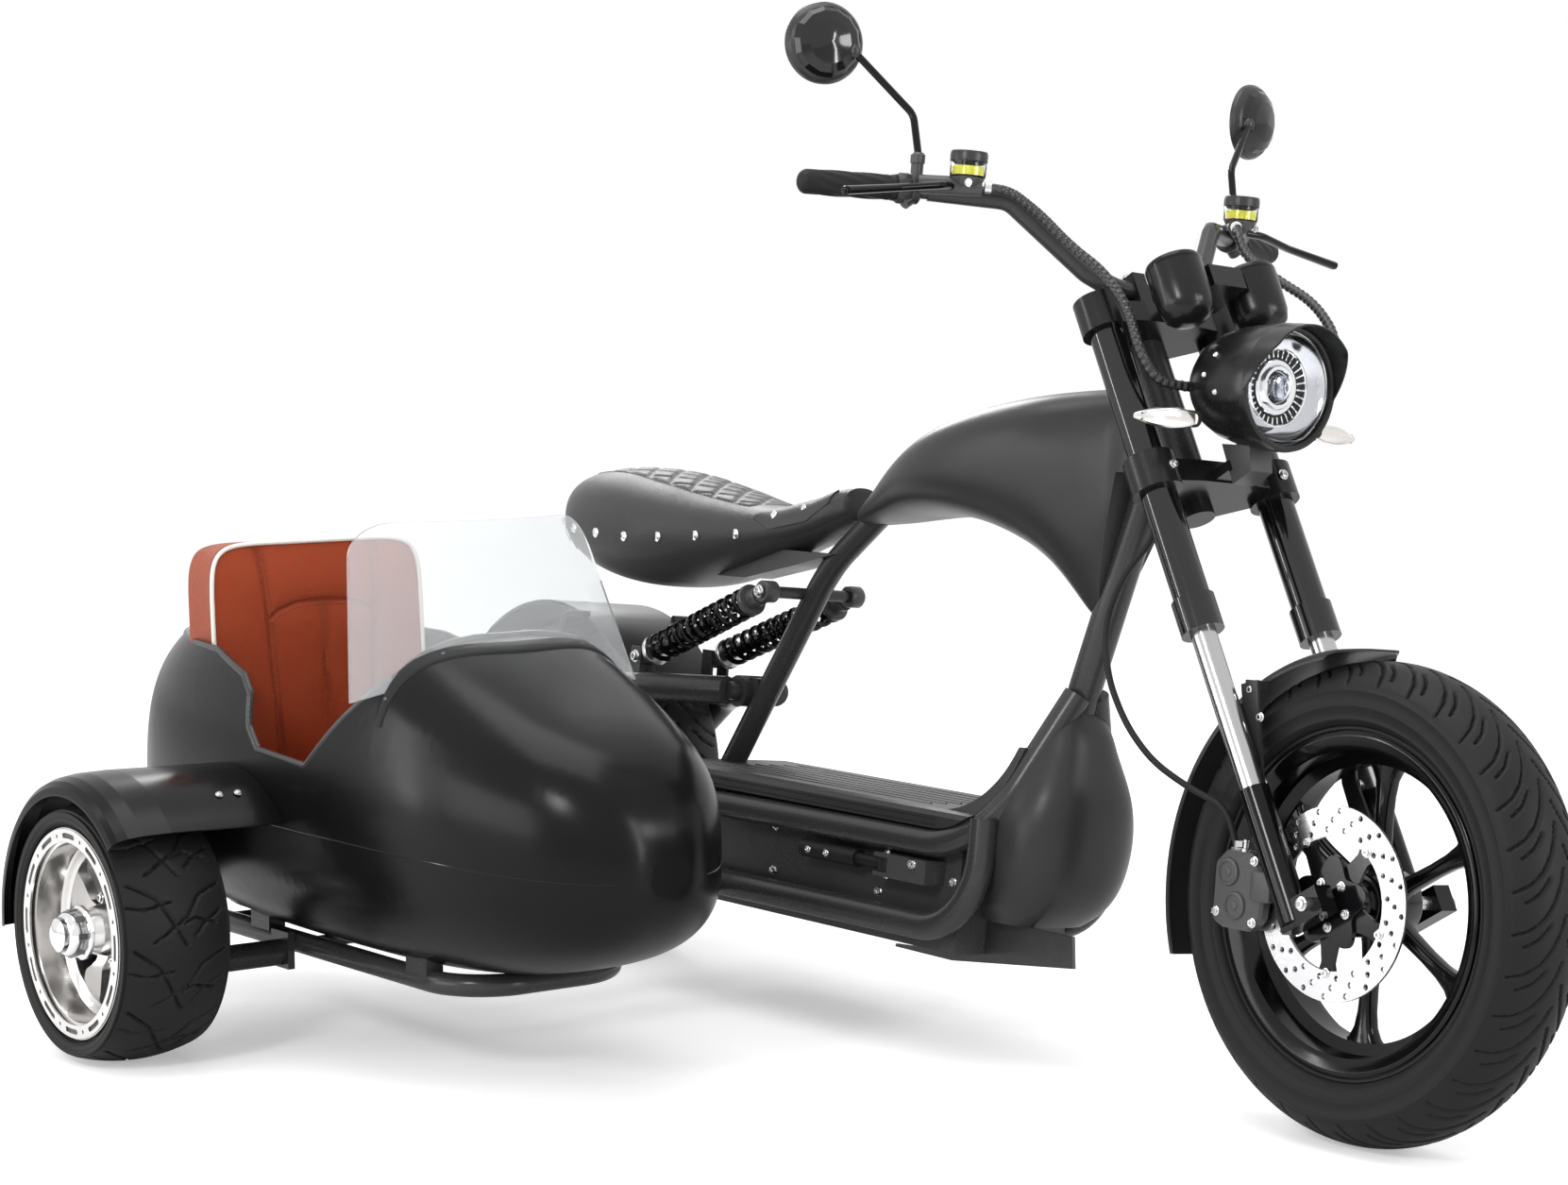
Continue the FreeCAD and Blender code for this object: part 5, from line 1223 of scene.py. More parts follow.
@dataclass
class Cushion:
    """A closed, crowned cushion with a rounded outline, sewn seams, stitches and piping."""

    name: str
    node: str
    place: Matrix
    half_w: float
    half_h: float
    deep: float
    corner: float
    crown: float
    seams: Sequence[Sequence[Pair]]
    edge_pull: float = 9.0
    count: int = 84
    face: float = 0.965
    piped: float = 0.978
    seam_deep: float = 3.6
    seam_wide: float = 3.4
    tuck_deep: float = 2.2
    tuck_wide: float = 16.0

    def outline(self, a: float) -> Pair:
        """A point of the rounded outline at an angle, and so at a share of the way round."""
        power = 2 + 10 * (1 - self.corner / min(self.half_w, self.half_h))
        c, s = squared(a, 2 / power)
        return self.half_w * c, self.half_h * s

    def front(self, x: float, y: float, share: float) -> float:
        """The crowned face's height, drawn in where seams run."""
        rise = self.crown * (1 - share ** 3.2)
        near = 1e9
        for line in self.seams:
            for start, end in zip(line, line[1:]):
                near = min(near, run_distance((x, y), start, end))
        seam = self.seam_deep * math.exp(-(near / self.seam_wide) ** 2)
        return rise - seam - self.tuck_deep * math.exp(-(near / self.tuck_wide) ** 2)

    def build(self) -> None:
        """Make the cushion body, its piping and its stitches."""
        piece = Piece(self.name, self.place)
        around = [(a, *self.outline(a)) for a in turns(self.count * 2)]
        half = self.deep / 2
        rings = []
        for i in range(1, self.count + 1):
            share = i / self.count
            flat = [(ox * (share * self.face), oy * (share * self.face)) for _, ox, oy in around]
            rings.append([(x, y, half - self.crown + self.front(x, y, share)) for x, y in flat])
        band = [(0.985, 0.97), (1.0, 0.90), (1.0, 0.80), (0.992, 0.6), (0.984, 0.2), (0.984, -0.2), (0.992, -0.6),
                (1.0, -0.85), (0.985, -0.97), (0.95, -1.0)]
        for grow, depth in band:
            ring = []
            for a, ox, oy in around:
                pull = self.edge_pull * (1 - abs(depth)) * (0.4 + 0.6 * abs(math.cos(2 * a)))
                keep = grow - pull / math.hypot(ox, oy)
                ring.append((ox * keep, oy * keep, (half - self.crown) * depth if depth > 0 else half * depth))
            rings.append(ring)
        rings.insert(0, [(x * 0.02, y * 0.02, z) for x, y, z in rings[0]])
        back = [[(x * k, y * k, -half) for x, y, _ in rings[-1]] for k in (0.6, 0.02)]
        piece.skin(rings[:self.count + 1], BROWN_LEATHER, caps=False)
        piece.fill(rings[0], BROWN_LEATHER)
        piece.skin(rings[self.count:] + back, BROWN_SIDE, caps=False)
        piece.fill(back[-1][::-1], BROWN_SIDE)
        level = half - self.crown + 0.5
        rim = [(x * self.piped, y * self.piped, level) for _, x, y in around]
        piece.sweep([*rim, (*[self.piped * v for v in self.outline(2 * math.pi)], level)], 3.1, PIPING, sides=8)
        marks = []
        for line in self.seams:
            run = even_points([Vector((x, y, 0)) for x, y in line], 7.0)
            for p, q in zip(run, run[1:]):
                ahead = (q - p).normalized()
                off = Vector((-ahead.y, ahead.x, 0)) * 4.6
                for s in (-1, 1):
                    m = p + off * s
                    share = max(abs(m.x) / self.half_w, abs(m.y) / self.half_h)
                    if share < 0.93:
                        high = half - self.crown + self.front(m.x, m.y, share)
                        marks.append(((m.x, m.y, high + 0.1), UP, ahead))
        piece.scatter(Hardware.stitch(5.0), marks, BROWN_THREAD)
        made = piece.done("chassis", "brown_leather", self.node, crease=60.0)


@dataclass
class SidecarSeat:
    """The sidecar's piped seat: its back with an arched panel and its channelled base."""

    x: float = -1440.0
    y: float = -533.0
    deep: float = 80.0
    half: float = 163.0
    top: float = 627.0
    foot: float = 300.0
    panel: float = 82.0

    FACING = Matrix(((0, 0, 1, 0), (1, 0, 0, 0), (0, 1, 0, 0), (0, 0, 0, 1)))

    def build(self) -> None:
        """Make the back and the base, which are drawn face up and turned into place."""
        self.back()
        self.base()

    def back(self) -> None:
        """The seat back, seamed with two uprights, an arch between them and a middle line."""
        half_h = (self.top - self.foot) / 2
        place = (CAR @ Matrix.Translation((self.x, self.y, self.foot)) @ Matrix.Rotation(math.radians(-4), 4, "Y")
                 @ Matrix.Translation((self.deep / 2, 0, half_h)) @ self.FACING)
        p = self.panel
        low = -half_h * 0.93
        arch = [(-p, 58), (-p * 0.8, 70), (-p * 0.5, 78), (0, 82), (p * 0.5, 78), (p * 0.8, 70), (p, 58)]
        seams = [[(-p - 6, half_h * 0.93), (-p, 58), (-p + 14, low)], [(p + 6, half_h * 0.93), (p, 58), (p - 14, low)],
                 arch, [(0, 82), (0, low)]]
        Cushion("sidecar_seat_back", "seat_back", place, self.half, half_h, self.deep, 62.0, 15.0, seams).build()

    def base(self) -> None:
        """The seat base: a channelled cushion on a plinth."""
        length = 190.0
        place = CAR @ Matrix.Translation((-1330.0, self.y, 254.0)) @ Matrix.Rotation(math.radians(90), 4, "Z")
        seams = [[(w, -length * 0.9), (w, length * 0.9)] for w in (-96, -48, 0, 48, 96)]
        Cushion("sidecar_seat_base", "seat_base", place, 150.0, length, 90.0, 60.0, 12.0, seams).build()
        plinth = Piece("seat_plinth", CAR)
        plinth.box((-1490, self.y - 112, 141), (-1170, self.y + 112, 212), PLASTIC, soften=8.0, power=6.0)
        plinth.done("chassis", "black_plastic")


@dataclass
class Saddle:
    """The teardrop saddle with its diamond-sewn panel, studs and nose flap."""

    stations: Sequence[tuple[float, ...]] = (
        (-1566, 40, 608, 660), (-1548, 88, 582, 684), (-1500, 128, 550, 700), (-1420, 144, 533, 706),
        (-1330, 138, 538, 694), (-1230, 112, 566, 676), (-1130, 76, 596, 664), (-1060, 54, 616, 674),
        (-1010, 42, 636, 694), (-985, 30, 650, 698))
    power: float = 2.4
    diamond: float = 50.0
    bow: float = 0.56
    panel_run: Pair = (-1506, -1168)
    top_share: float = 0.68
    under_share: float = 0.32
    lengthways: int = 176
    round_count: int = 168

    def station(self, x: float) -> tuple[float, float, float]:
        """Half width, low and high at one X, blended smoothly between the stations."""
        rows = self.stations
        i = next((k for k, row in enumerate(rows[1:]) if x <= row[0]), len(rows) - 2)
        a, b = rows[i], rows[i + 1]
        before, after = rows[max(0, i - 1)], rows[min(len(rows) - 1, i + 2)]
        t = max(0.0, min(1.0, (x - a[0]) / (b[0] - a[0])))
        out = []
        for k in (1, 2, 3):
            m0 = (b[k] - before[k]) / (b[0] - before[0]) * (b[0] - a[0])
            m1 = (after[k] - a[k]) / (after[0] - a[0]) * (b[0] - a[0])
            h = (2 * t ** 3 - 3 * t * t + 1) * a[k] + (t ** 3 - 2 * t * t + t) * m0
            out.append(h + (3 * t * t - 2 * t ** 3) * b[k] + (t ** 3 - t * t) * m1)
        return tuple(out)

    def panel(self, x: float, y: float, half: float) -> float:
        """How far a point of the top is inside the sewn panel, in millimetres."""
        return min(self.bow * half - abs(y), x - self.panel_run[0], self.panel_run[1] - x)

    def point(self, x: float, a: float, off: float = 0.0) -> Vector:
        """A point of the leather at an X and an angle round the section.

        Args:
            x: How far along the saddle.
            a: The angle, 0 at the left and growing upwards.
            off: How far off the leather.

        Returns:
            The point.
        """
        half, low, high = self.station(x)
        c, s = math.cos(a), math.sin(a)
        across, upright = squared(a, 2 / self.power)
        mid, rise = (low + high) / 2, (high - low) / 2
        y, z = half * across, mid + rise * upright
        move = off
        if s > 0:
            inside = self.panel(x, y, half)
            move -= 3.4 * math.exp(-(inside / 3.0) ** 2)
            if inside > 0:
                p, q = (x + y) / self.diamond, (x - y) / self.diamond
                d = min(abs(p - round(p)), abs(q - round(q))) * self.diamond * 0.7
                move -= min(1.0, inside / 8.0) * (3.6 * math.exp(-(d / 3.2) ** 2))
        elif s < -0.25:
            move -= 5.0 * min(1.0, (-s - 0.25) / 0.4)
        normal = Vector((0, c / max(half, 1) * rise, s / max(rise, 1) * half))
        normal.normalize()
        return Vector((x, y, z)) + normal * move

    def build(self) -> None:
        """Make the leather body, the seam stitches and the studs."""
        piece = Piece("saddle_leather", BIKE)
        first, last = self.stations[0][0], self.stations[-1][0]
        top = self.top_share
        angles = [math.pi * (u / top if u < top else 1 + (u - top) / self.under_share)
                  for u in (k / self.round_count for k in range(self.round_count))]
        rings = []
        for i in range(self.lengthways + 1):
            t = i / self.lengthways
            x = first + (last - first) * (t + 0.02 * math.sin(math.pi * 2 * t))
            rings.append([self.point(x, a) for a in angles])
        piece.skin([self._closing(rings[0], -2.0), *rings, self._closing(rings[-1], 1.0)], BLACK_LEATHER)
        marks = []
        for s in (-1, 1):
            for i in range(7):
                x = -1524 + i * 62.0
                a = -0.10 if s > 0 else math.pi + 0.10
                marks.append((self.point(x, a, -0.2), (0, s, -0.10), FORE))
        piece.scatter(Hardware.stud(7.0), marks, CHROME)
        seam = []
        for s in (-1, 1):
            for i in range(49):
                x = -1500 + i * 6.8
                half = self.station(x)[0]
                c = (self.bow + 5.0 / half) ** (self.power / 2)
                a = math.acos(min(1.0, c))
                a = a if s > 0 else math.pi - a
                seam.append((self.point(x, a, 0.3), Vector((0, s * math.cos(a), abs(math.sin(a)))), FORE))
        piece.scatter(Hardware.stitch(5.0), seam, THREAD)
        self._flaps(piece)
        made = piece.done("chassis", "seat_leather", "saddle", crease=70.0)

    @staticmethod
    def _closing(ring: Sequence[Vector], bulge: float) -> list[Vector]:
        """A ring half as large as an end ring and a little beyond it."""
        middle = sum(ring, Vector()) / len(ring)
        return [middle + (p - middle) * 0.5 + Vector((bulge, 0, 0)) for p in ring]

    def _flaps(self, piece: Piece) -> None:
        """The raised flap with two studs on each side of the nose."""
        marks = []
        for s in (-1, 1):
            outer, inner = [], []
            for x, a0, a1 in ((-1128, 0.35, 0.75), (-1100, -0.05, 0.95), (-1040, -0.10, 1.05), (-1005, 0.20, 1.0)):
                for store, off in ((outer, 2.4), (inner, -0.5)):
                    slant = [a0 + (a1 - a0) * k / 6 for k in range(7)]
                    store.append([self.point(x, a if s > 0 else math.pi - a, off) for a in slant])
            piece.skin([o + i[::-1] for o, i in zip(outer, inner)], BLACK_LEATHER)
            for x in (-1098, -1050):
                marks.append((self.point(x, 0.42 if s > 0 else math.pi - 0.42, 2.2), (0, s, 0.5), FORE))
        piece.scatter(Hardware.stud(6.0), marks, CHROME)


@dataclass
class Shock:
    """One open coil spring over its damper, between the lug and the cross shaft."""

    side: int
    low: Point = (-1369.0, 63.0, 436.0)
    high: Point = (-1080.0, 74.0, 548.0)
    turns: float = 12.0

    def build(self, piece: Piece) -> None:
        """Add the spring, its seats, the damper and both eyes to a piece."""
        low, high = sided(self.low, self.side), sided(self.high, self.side)
        along = (high - low).normalized()
        length = (high - low).length
        across = Vector(LEFT)
        other = along.cross(across).normalized()
        across = other.cross(along)
        coil = []
        steps = int(self.turns * 20)
        for i in range(steps + 1):
            t = i / steps
            squeezed = 34 + (length - 34 - 44) * (t + 0.02 * math.sin(2 * math.pi * t))
            a = 2 * math.pi * self.turns * t
            coil.append(low + along * squeezed + (across * math.cos(a) + other * math.sin(a)) * 18.5)
        piece.sweep(coil, 3.7, GLOSS_BLACK, sides=8)
        for start, end, r, finish in ((22, length * 0.62, 9.5, GLOSS_BLACK), (length * 0.55, length - 20, 5.5, CHROME),
                                      (26, 33, 22.0, STEEL), (length - 44, length - 36, 22.0, CAST_BLACK),
                                      (length - 36, length - 18, 14.0, CAST_BLACK), (14, 26, 11.0, CAST_BLACK),
                                      (length * 0.30, length * 0.30 + 5, 12.5, STEEL)):
            profile = [(0.01, start), (r - 1, start), (r, start + 1), (r, end - 1), (r - 1, end), (0.01, end)]
            piece.lathe(profile, finish, low, along, 32)
        for centre, r, hole in ((low, 12.0, 5.4), (high, 15.0, 8.4)):
            ring = [(hole, -11), (r - 1, -11), (r, -9.5), (r, 9.5), (r - 1, 11), (hole, 11)]
            piece.lathe(ring, CAST_BLACK, centre, LEFT, 32)


@dataclass
class Headlamp:
    """The bullet headlamp with its visor, deep reflector, projector and clear lens."""

    x: float = -214.0
    z: float = 852.0
    reach: float = 42.0

    def build(self) -> None:
        """Make the housing, visor, bowl, projector, screws and lens."""
        at = Vector((self.x, 0, self.z))
        piece = Piece("headlamp", BIKE)
        outer = [(0.01, -130), (16, -129), (30, -126), (44, -115), (56, -100), (65, -80), (71, -55), (75, -20), (76, 4),
                 (75, 9), (71, 10), (68, 8), (67, 3)]
        inner = [(67, 3), (66.5, -2), (62, -16), (52, -34), (38, -48), (22, -55), (0.01, -56)]
        housing = outer + [(68, -4), (66.5, -19), (57, -39), (42, -54), (24, -61), (0.01, -62)]
        piece.lathe(housing, HOUSING_BLACK, at, FORE, 96)
        bowl = inner + [(0.01, -58), (24, -57.5), (41, -50), (55, -36), (65, -17), (69, -1)]
        piece.lathe(bowl, REFLECTOR, at, FORE, 96)
        self._visor(piece, at)
        for r0, r1, x0, x1, finish in ((20, 26, -50, -10, REFLECTOR), (26, 33, -34, -14, CHROME),
                                       (44, 47, -34, -10, CHROME)):
            ring = [(r0, x0), (r1, x0), (r1, x1 - 1), (r1 - 1, x1), (r0 + 1, x1), (r0, x1 - 1)]
            piece.lathe(ring, finish, at, FORE, 72)
        eye = [(0.01, -34), (18, -32), (19.8, -26), (18, -14), (12, -6.5), (0.01, -3)]
        piece.lathe(eye, PROJECTOR, at, FORE, 48)
        fins = [(at + Vector((-30, 39.5 * math.cos(a), 39.5 * math.sin(a))), FORE,
                 (0, math.cos(a), math.sin(a))) for a in turns(32)]
        fin = Hardware.bar("lamp_fin", (-4.2, -1.0, 0), (4.2, 1.0, 14))
        piece.scatter(fin, fins, REFLECTOR)
        screws = []
        for s in (-1, 1):
            for dx, dz in ((-52, 32), (-42, -12), (-66, 8)):
                r = 73.0 if dx > -60 else 68.5
                a = math.asin(dz / r)
                out = Vector((0.12, s * math.cos(a), math.sin(a)))
                screws.append((at + Vector((dx, s * r * math.cos(a), dz)), out, FORE))
        piece.scatter(Hardware.stud(3.4), screws, BOLT_STEEL)
        strap = [[(-268, y, 735), (-240, y, 752), (-246, y, 782), (-292, y, 782)] for y in (-18, 18)]
        piece.skin(strap, CAST_BLACK)
        piece.done("steering", "black_plastic", "headlight")
        lens = Piece("headlamp_lens", BIKE)
        lens.lathe([(0.01, 9.5), (26, 8.6), (46, 6.5), (60, 4.0), (66.5, 1.2), (66.5, -0.6), (59, 1.8), (46, 4.2),
                    (26, 6.4), (0.01, 7.3)], LAMP_GLASS, at, FORE, 96)
        lens.done("steering", "clear_glass", "headlight_lens")

    def _visor(self, piece: Piece, at: Vector) -> None:
        """The hood over the lens, longest at the top."""
        rings = []
        count = 72
        for i in range(count + 1):
            a = math.radians(-104 + 208 * i / count)
            z = 75 * math.cos(a)
            reach = 9 + (z + 10) * 34 / 60
            reach = max(9.5, min(self.reach, reach))
            out = Vector((0, math.sin(a), math.cos(a)))
            rings.append([at + out * r + Vector((x, 0, 0)) for r, x in
                          ((75.4, 0), (75.8, reach * 0.5), (75.0, reach - 1.0), (74.0, reach), (72.6, reach - 0.6),
                           (72.4, reach * 0.5), (72.4, 0))])
        piece.skin(rings, HOUSING_BLACK)


def bar_end(s: int) -> tuple[Vector, Vector, Vector]:
    """The start, the end and the direction of the handlebar's straight run on one side."""
    start, end = Vector((-600, s * 260, 1061)), Vector((-657, s * 398, 1056))
    return start, end, (end - start).normalized()


@dataclass
class Controls:
    """The hand controls: switch drums, master cylinders, levers and fluid cups, with the mirrors' posts."""

    cup: Point = (-547.0, 231.0, 1077)
    lever: Sequence[Point] = ((-560, 244, 1066), (-548, 272, 1064), (-556, 330, 1054), (-551, 412, 1041))

    def build(self) -> None:
        """Make the right and left controls."""
        for s, name in ((-1, "right"), (1, "left")):
            self._side(s, name)

    def _side(self, s: int, name: str) -> None:
        """One side's control."""
        start, _, along = bar_end(s)
        piece = Piece("hand_control_" + name, BIKE)
        drum = [(11.3, 3), (16, 2), (18.5, 4), (18.9, 12), (17.4, 14), (18.9, 16), (18.9, 28), (17, 31), (11.3, 31)]
        piece.lathe(drum, PLASTIC, start, along, 48)
        pod = [start + along * 16 + Vector((4, 0, -12)), start + along * 24 + Vector((6, 0, -17.5))]
        piece.sweep(pod, 9.0, PLASTIC, 16)
        piece.sweep([(-536, s * 216, 1068), (-586, s * 274, 1066)], 11.6, CAST_BLACK, 24)
        piece.sweep([(-534, s * 213, 1068), (-529, s * 207, 1068)], 7.5, BOLT_STEEL, 12)
        at = sided(self.cup, s)
        cup = [(20.5, 0), (22.0, 2), (22.0, 33), (20.6, 33), (20.6, 3), (0.01, 2.4), (0.01, 0)]
        piece.lathe(cup, CUP_PLASTIC, at, UP, 40)
        piece.lathe([(0.01, 3), (20.0, 3.4), (20.2, 14), (0.01, 14)], FLUID, at, UP, 40)
        piece.lathe([(0.01, 33), (21.8, 33), (22.6, 29), (22.9, 24), (23, 32), (22.0, 36), (0.01, 37)], PLASTIC,
                    at - Vector((0, 0, 4)), UP, 40)
        piece.lathe([(0.01, -9), (15, -9), (20.5, -1), (20.5, 1), (0.01, 1)], CAST_BLACK, at, UP, 40)
        lever = [sided(p, s) for p in self.lever]
        piece.sweep(rounded_path(lever, 30, 3.0), self._lever_girth, GLOSS_BLACK, 16, 0.62)
        ball = [(0.01, -5.4), (4.2, -4.2), (5.6, 0), (4.2, 4.2), (0.01, 5.4)]
        piece.lathe(ball, GLOSS_BLACK, lever[-1], UP, 20)
        post = [(0.01, 0), (10, 0), (10, 8), (7.6, 10), (7.6, 22), (9.0, 23), (9.0, 33), (6.2, 36), (0.01, 36)]
        piece.lathe(post, CAST_BLACK, (-599, s * 268, 1069), UP, 24)
        marks = [((-566, s * 252, 1073.6), UP, FORE), (start + along * 10 + Vector((18.4, 0, 3)), (1, 0, 0.1), LEFT),
                 ((-531, s * 243, 1070), (1, s * 0.3, 0), LEFT), ((-547, s * 214, 1070), (0.4, -s, 0), FORE)]
        piece.scatter(Hardware.bolt(3.6), marks, BOLT_STEEL, 1.0)
        piece.done("steering", "black_plastic", "control_" + name)

    @staticmethod
    def _lever_girth(gone: float, turn: float) -> float:
        """The lever's radius, slimmest at the middle of its reach."""
        return 8.8 - 1.2 * math.sin(min(1.0, gone / 150) * math.pi)


@dataclass
class Mirrors:
    """The round mirrors: a domed bowl cut in flats, silvered glass and a cranked stem."""

    turn: float = math.radians(17.0)
    centre: Point = (-684, 362, 1228)
    hub: Point = (-654, 336, 1220)

    def build(self) -> None:
        """Make both mirrors as one piece."""
        piece = Piece("mirror_pair", BIKE)
        for s in (-1, 1):
            centre = sided(self.centre, s)
            out = Vector((math.cos(self.turn), s * math.sin(self.turn), 0))
            rim = [(46.5, 1.2), (47.5, -0.4), (49.6, 0.4), (50, 3), (49.2, 8), (46, 13.5), (43, 16), (40, 14), (46, 3)]
            piece.lathe(rim, PLASTIC, centre, out, 70)
            piece.lathe([(0.01, 0.0), (25, 0.4), (46.6, 1.4), (46.6, 2.6), (0.01, 2.0)], CHROME, centre, out, 64)
            dome = [(43.5, 10), (43.5, 15.6), (38, 22.0), (27, 27.5), (13, 30.4), (0.01, 31.2), (0.01, 10)]
            piece.lathe(dome, DOME_BLACK, centre, out, 14)
            hub = sided(self.hub, s)
            piece.sweep([hub, centre + out * 14], 7.0, PLASTIC, 16)
            stem = rounded_path([(-599.3, s * 268, 1104), (-612, s * 270, 1151), hub], 24, 3.0)
            piece.sweep(stem, 4.6, GLOSS_BLACK, 14)
            piece.lathe([(0.01, -8), (6.5, -7), (8, -2), (8, 4), (5, 8), (0.01, 9)], PLASTIC, hub, UP, 24)
        piece.done("steering", "black_plastic", "mirrors", crease=14.0)


@dataclass
class Instruments:
    """The two cup-shaped instruments with bezels, plain dials and glasses."""

    ahead: float = 101.0
    side: float = 62.0
    level: float = 694.0

    def build(self) -> None:
        """Make both instruments as one piece."""
        piece = Piece("instrument_cups", FORK)
        ticks = []
        for s in (-1, 1):
            at = (self.ahead, s * (self.side + 0.3), self.level)
            cup = [(0.01, 0), (12, 0.6), (22, 4), (30, 12), (33.6, 24), (34.6, 50), (34.9, 74), (34.9, 79), (33.5, 82),
                   (31.4, 82), (31.0, 76), (0.01, 76)]
            piece.lathe(cup, HOUSING_BLACK, at, UP, 64)
            piece.lathe([(33.6, 73), (35.0, 74), (35.0, 77), (33.6, 78)], GLOSS_BLACK, at, UP, 64)
            piece.lathe([(0.01, 76.1), (30.8, 76.1), (30.8, 76.8), (0.01, 76.8)], DIAL_FACE, at, UP, 48)
            piece.lathe([(0.01, 80.0), (31.0, 79.6), (31.0, 80.8), (0.01, 81.2)], LAMP_GLASS, at, UP, 48)
            for i in range(11):
                a = math.radians(-130 + 26 * i)
                out = Vector((-math.cos(a), math.sin(a), 0))
                ticks.append((Vector(at) + out * 25 + Vector((0, 0, 76.8)), UP, out))
            needle = Vector((-math.cos(-2.0), math.sin(-2.0), 0))
            pivot = Vector(at) + Vector((0, 0, 77.6))
            piece.sweep([pivot - needle * 5, pivot + needle * 21], 0.7, RED_LENS, 6)
        tick = Hardware.bar("dial_tick", (-2.8, -0.5, -0.2), (2.8, 0.5, 0.4))
        piece.scatter(tick, ticks, DIAL_MARK)
        piece.done("steering", "black_plastic", "instrument_pods")


@dataclass
class Grips:
    """The rubber grips with their slanted ribs and rounded ends."""

    radius: float = 15.2
    collar: float = 15.9
    rib: float = 0.75

    def build(self) -> None:
        """Make both grips as one piece."""
        piece = Piece("grip_pair", BIKE)
        for s in (-1, 1):
            start, end, along = bar_end(s)
            a, b = start + along * 32, end + along * 5.5
            length = (b - a).length
            count = 96

            def girth(gone: float, turn: float) -> float:
                """The grip's radius: slanted ribs between a collar and a smooth rounded end."""
                end_fall = max(0.0, gone - (length - 12)) / 12
                round_off = math.sqrt(max(0.02, 1 - end_fall ** 2))
                ribs = self.rib * math.cos(8 * turn + gone * 0.16) if 8 < gone < length - 26 else 0.0
                return (self.radius + ribs) * round_off if gone > 4 else self.collar

            piece.sweep([a.lerp(b, i / count) for i in range(count + 1)], girth, RUBBER, 48)
        piece.done("steering", "rubber", "grips", crease=50.0)


@dataclass
class TubSurface:
    """The tub's outer form, used to lay the cowl band and the seam line on it."""

    x0: float = -1671.0
    x1: float = -589.0
    y: float = -533.0
    half: float = 211.0
    low: float = 122.0
    mid: float = 294.0
    top: float = 575.0
    glass_x: float = -958.0
    glass_z: float = 476.0
    glass_half: float = 205.0
    rake: float = 0.336
    taper: float = 0.19
    bow: float = 60.0

    def middle(self, x: float) -> Pair:
        """The share of the way from the tub's middle to an end, and the level of its widest line, at an X."""
        u = (x - (self.x0 + self.x1) / 2) / ((self.x1 - self.x0) / 2)
        return u, self.mid - 18.0 * max(0.0, u) ** 2

    def point(self, x: float, a: float, grow: float = 0.0) -> Vector:
        """A point of the surface at an X and an angle round the section.

        Args:
            x: How far along the tub.
            a: The angle, 0 at the left and growing upwards.
            grow: How far off the surface.

        Returns:
            The point.
        """
        u, mid = self.middle(x)
        power = 3.1 if u < 0 else 2.5
        swell = max(0.0, 1 - abs(u) ** power) ** (1 / power)
        top = self.top - 59.0 * math.exp(-((u - 0.73) / 0.42) ** 2)
        above = math.sin(a) > 0
        rise = (top - self.mid if above else self.mid - self.low) * swell
        c, s = squared(a, 2 / (3.0 if above else 2.5))
        y, z = self.half * swell * c, rise * s
        out = Vector((0, y, z)).normalized() if abs(y) + abs(z) > 1e-6 else Vector(UP)
        return Vector((x, self.y + y, mid + z)) + out * grow

    def half_at(self, x: float, z: float) -> float:
        """Half the tub's width at an X and a height, or 0 above its top."""
        crown = self.point(x, math.pi / 2).z
        _, mid = self.middle(x)
        share = max(0.0, z - mid) / max(1e-6, crown - mid)
        if share >= 1.0:
            return 0.0
        return abs(self.point(x, 0.0).y - self.y) * (1 - share ** 3) ** (1 / 3)

    def screen_x(self, p: Vector) -> float:
        """Where the screen's rear face stands at a point's height and side."""
        up = p.z - self.glass_z
        share = min(1.0, abs(p.y - self.y) / (self.glass_half - self.taper * up))
        return self.glass_x - self.rake * up + self.bow * (1 - share ** 2)

    def screen_foot(self, a: float) -> float:
        """The X at which the screen meets the tub at an angle round the section."""
        low, high = -1010.0, -880.0
        for _ in range(24):
            mid = (low + high) / 2
            if self.screen_x(self.point(mid, a)) > mid:
                low = mid
            else:
                high = mid
        return (low + high) / 2


@dataclass
class CowlTrim:
    """The rubber band under the screen with its screws, and the tub's fine moulded seam."""

    start: float = 28.0
    arc: float = 124.0
    narrow: float = 12.0
    swell: float = 17.0

    def build(self) -> None:
        """Make the band, the screws and the seam."""
        tub = TubSurface()
        piece = Piece("cowl_band", CAR)
        rings = []
        screws = []
        count = 72
        for i in range(count + 1):
            a = math.radians(self.start + self.arc * i / count)
            foot = tub.screen_foot(a)
            wide = self.narrow + self.swell * math.sin(math.pi * i / count)
            section = ((4.6, -0.6), (4.6, 2.2), (6.6, 3.0), (wide - 3, 2.8), (wide, 1.6), (wide + 1, -0.6))
            rings.append([tub.point(foot + dx, a, grow) for dx, grow in section])
            if i in (6, 24, 48, 66):
                p = tub.point(foot + wide * 0.6, a, 2.6)
                screws.append((p, (p - Vector((p.x + 30, tub.y, tub.mid))).normalized(), FORE))
        piece.skin(rings, RUBBER)
        piece.scatter(Hardware.stud(2.6), screws, DARK_STEEL)
        piece.done("chassis", "rubber")
        seam = Piece("tub_seam", CAR)
        for a in (0.0, math.pi):
            path = [tub.point(x, a, -0.35) for x in range(-1650, -592, 8)]
            seam.sweep(path, 0.9, GLOSS_BLACK, 6)
        seam.done("chassis", "rubber")


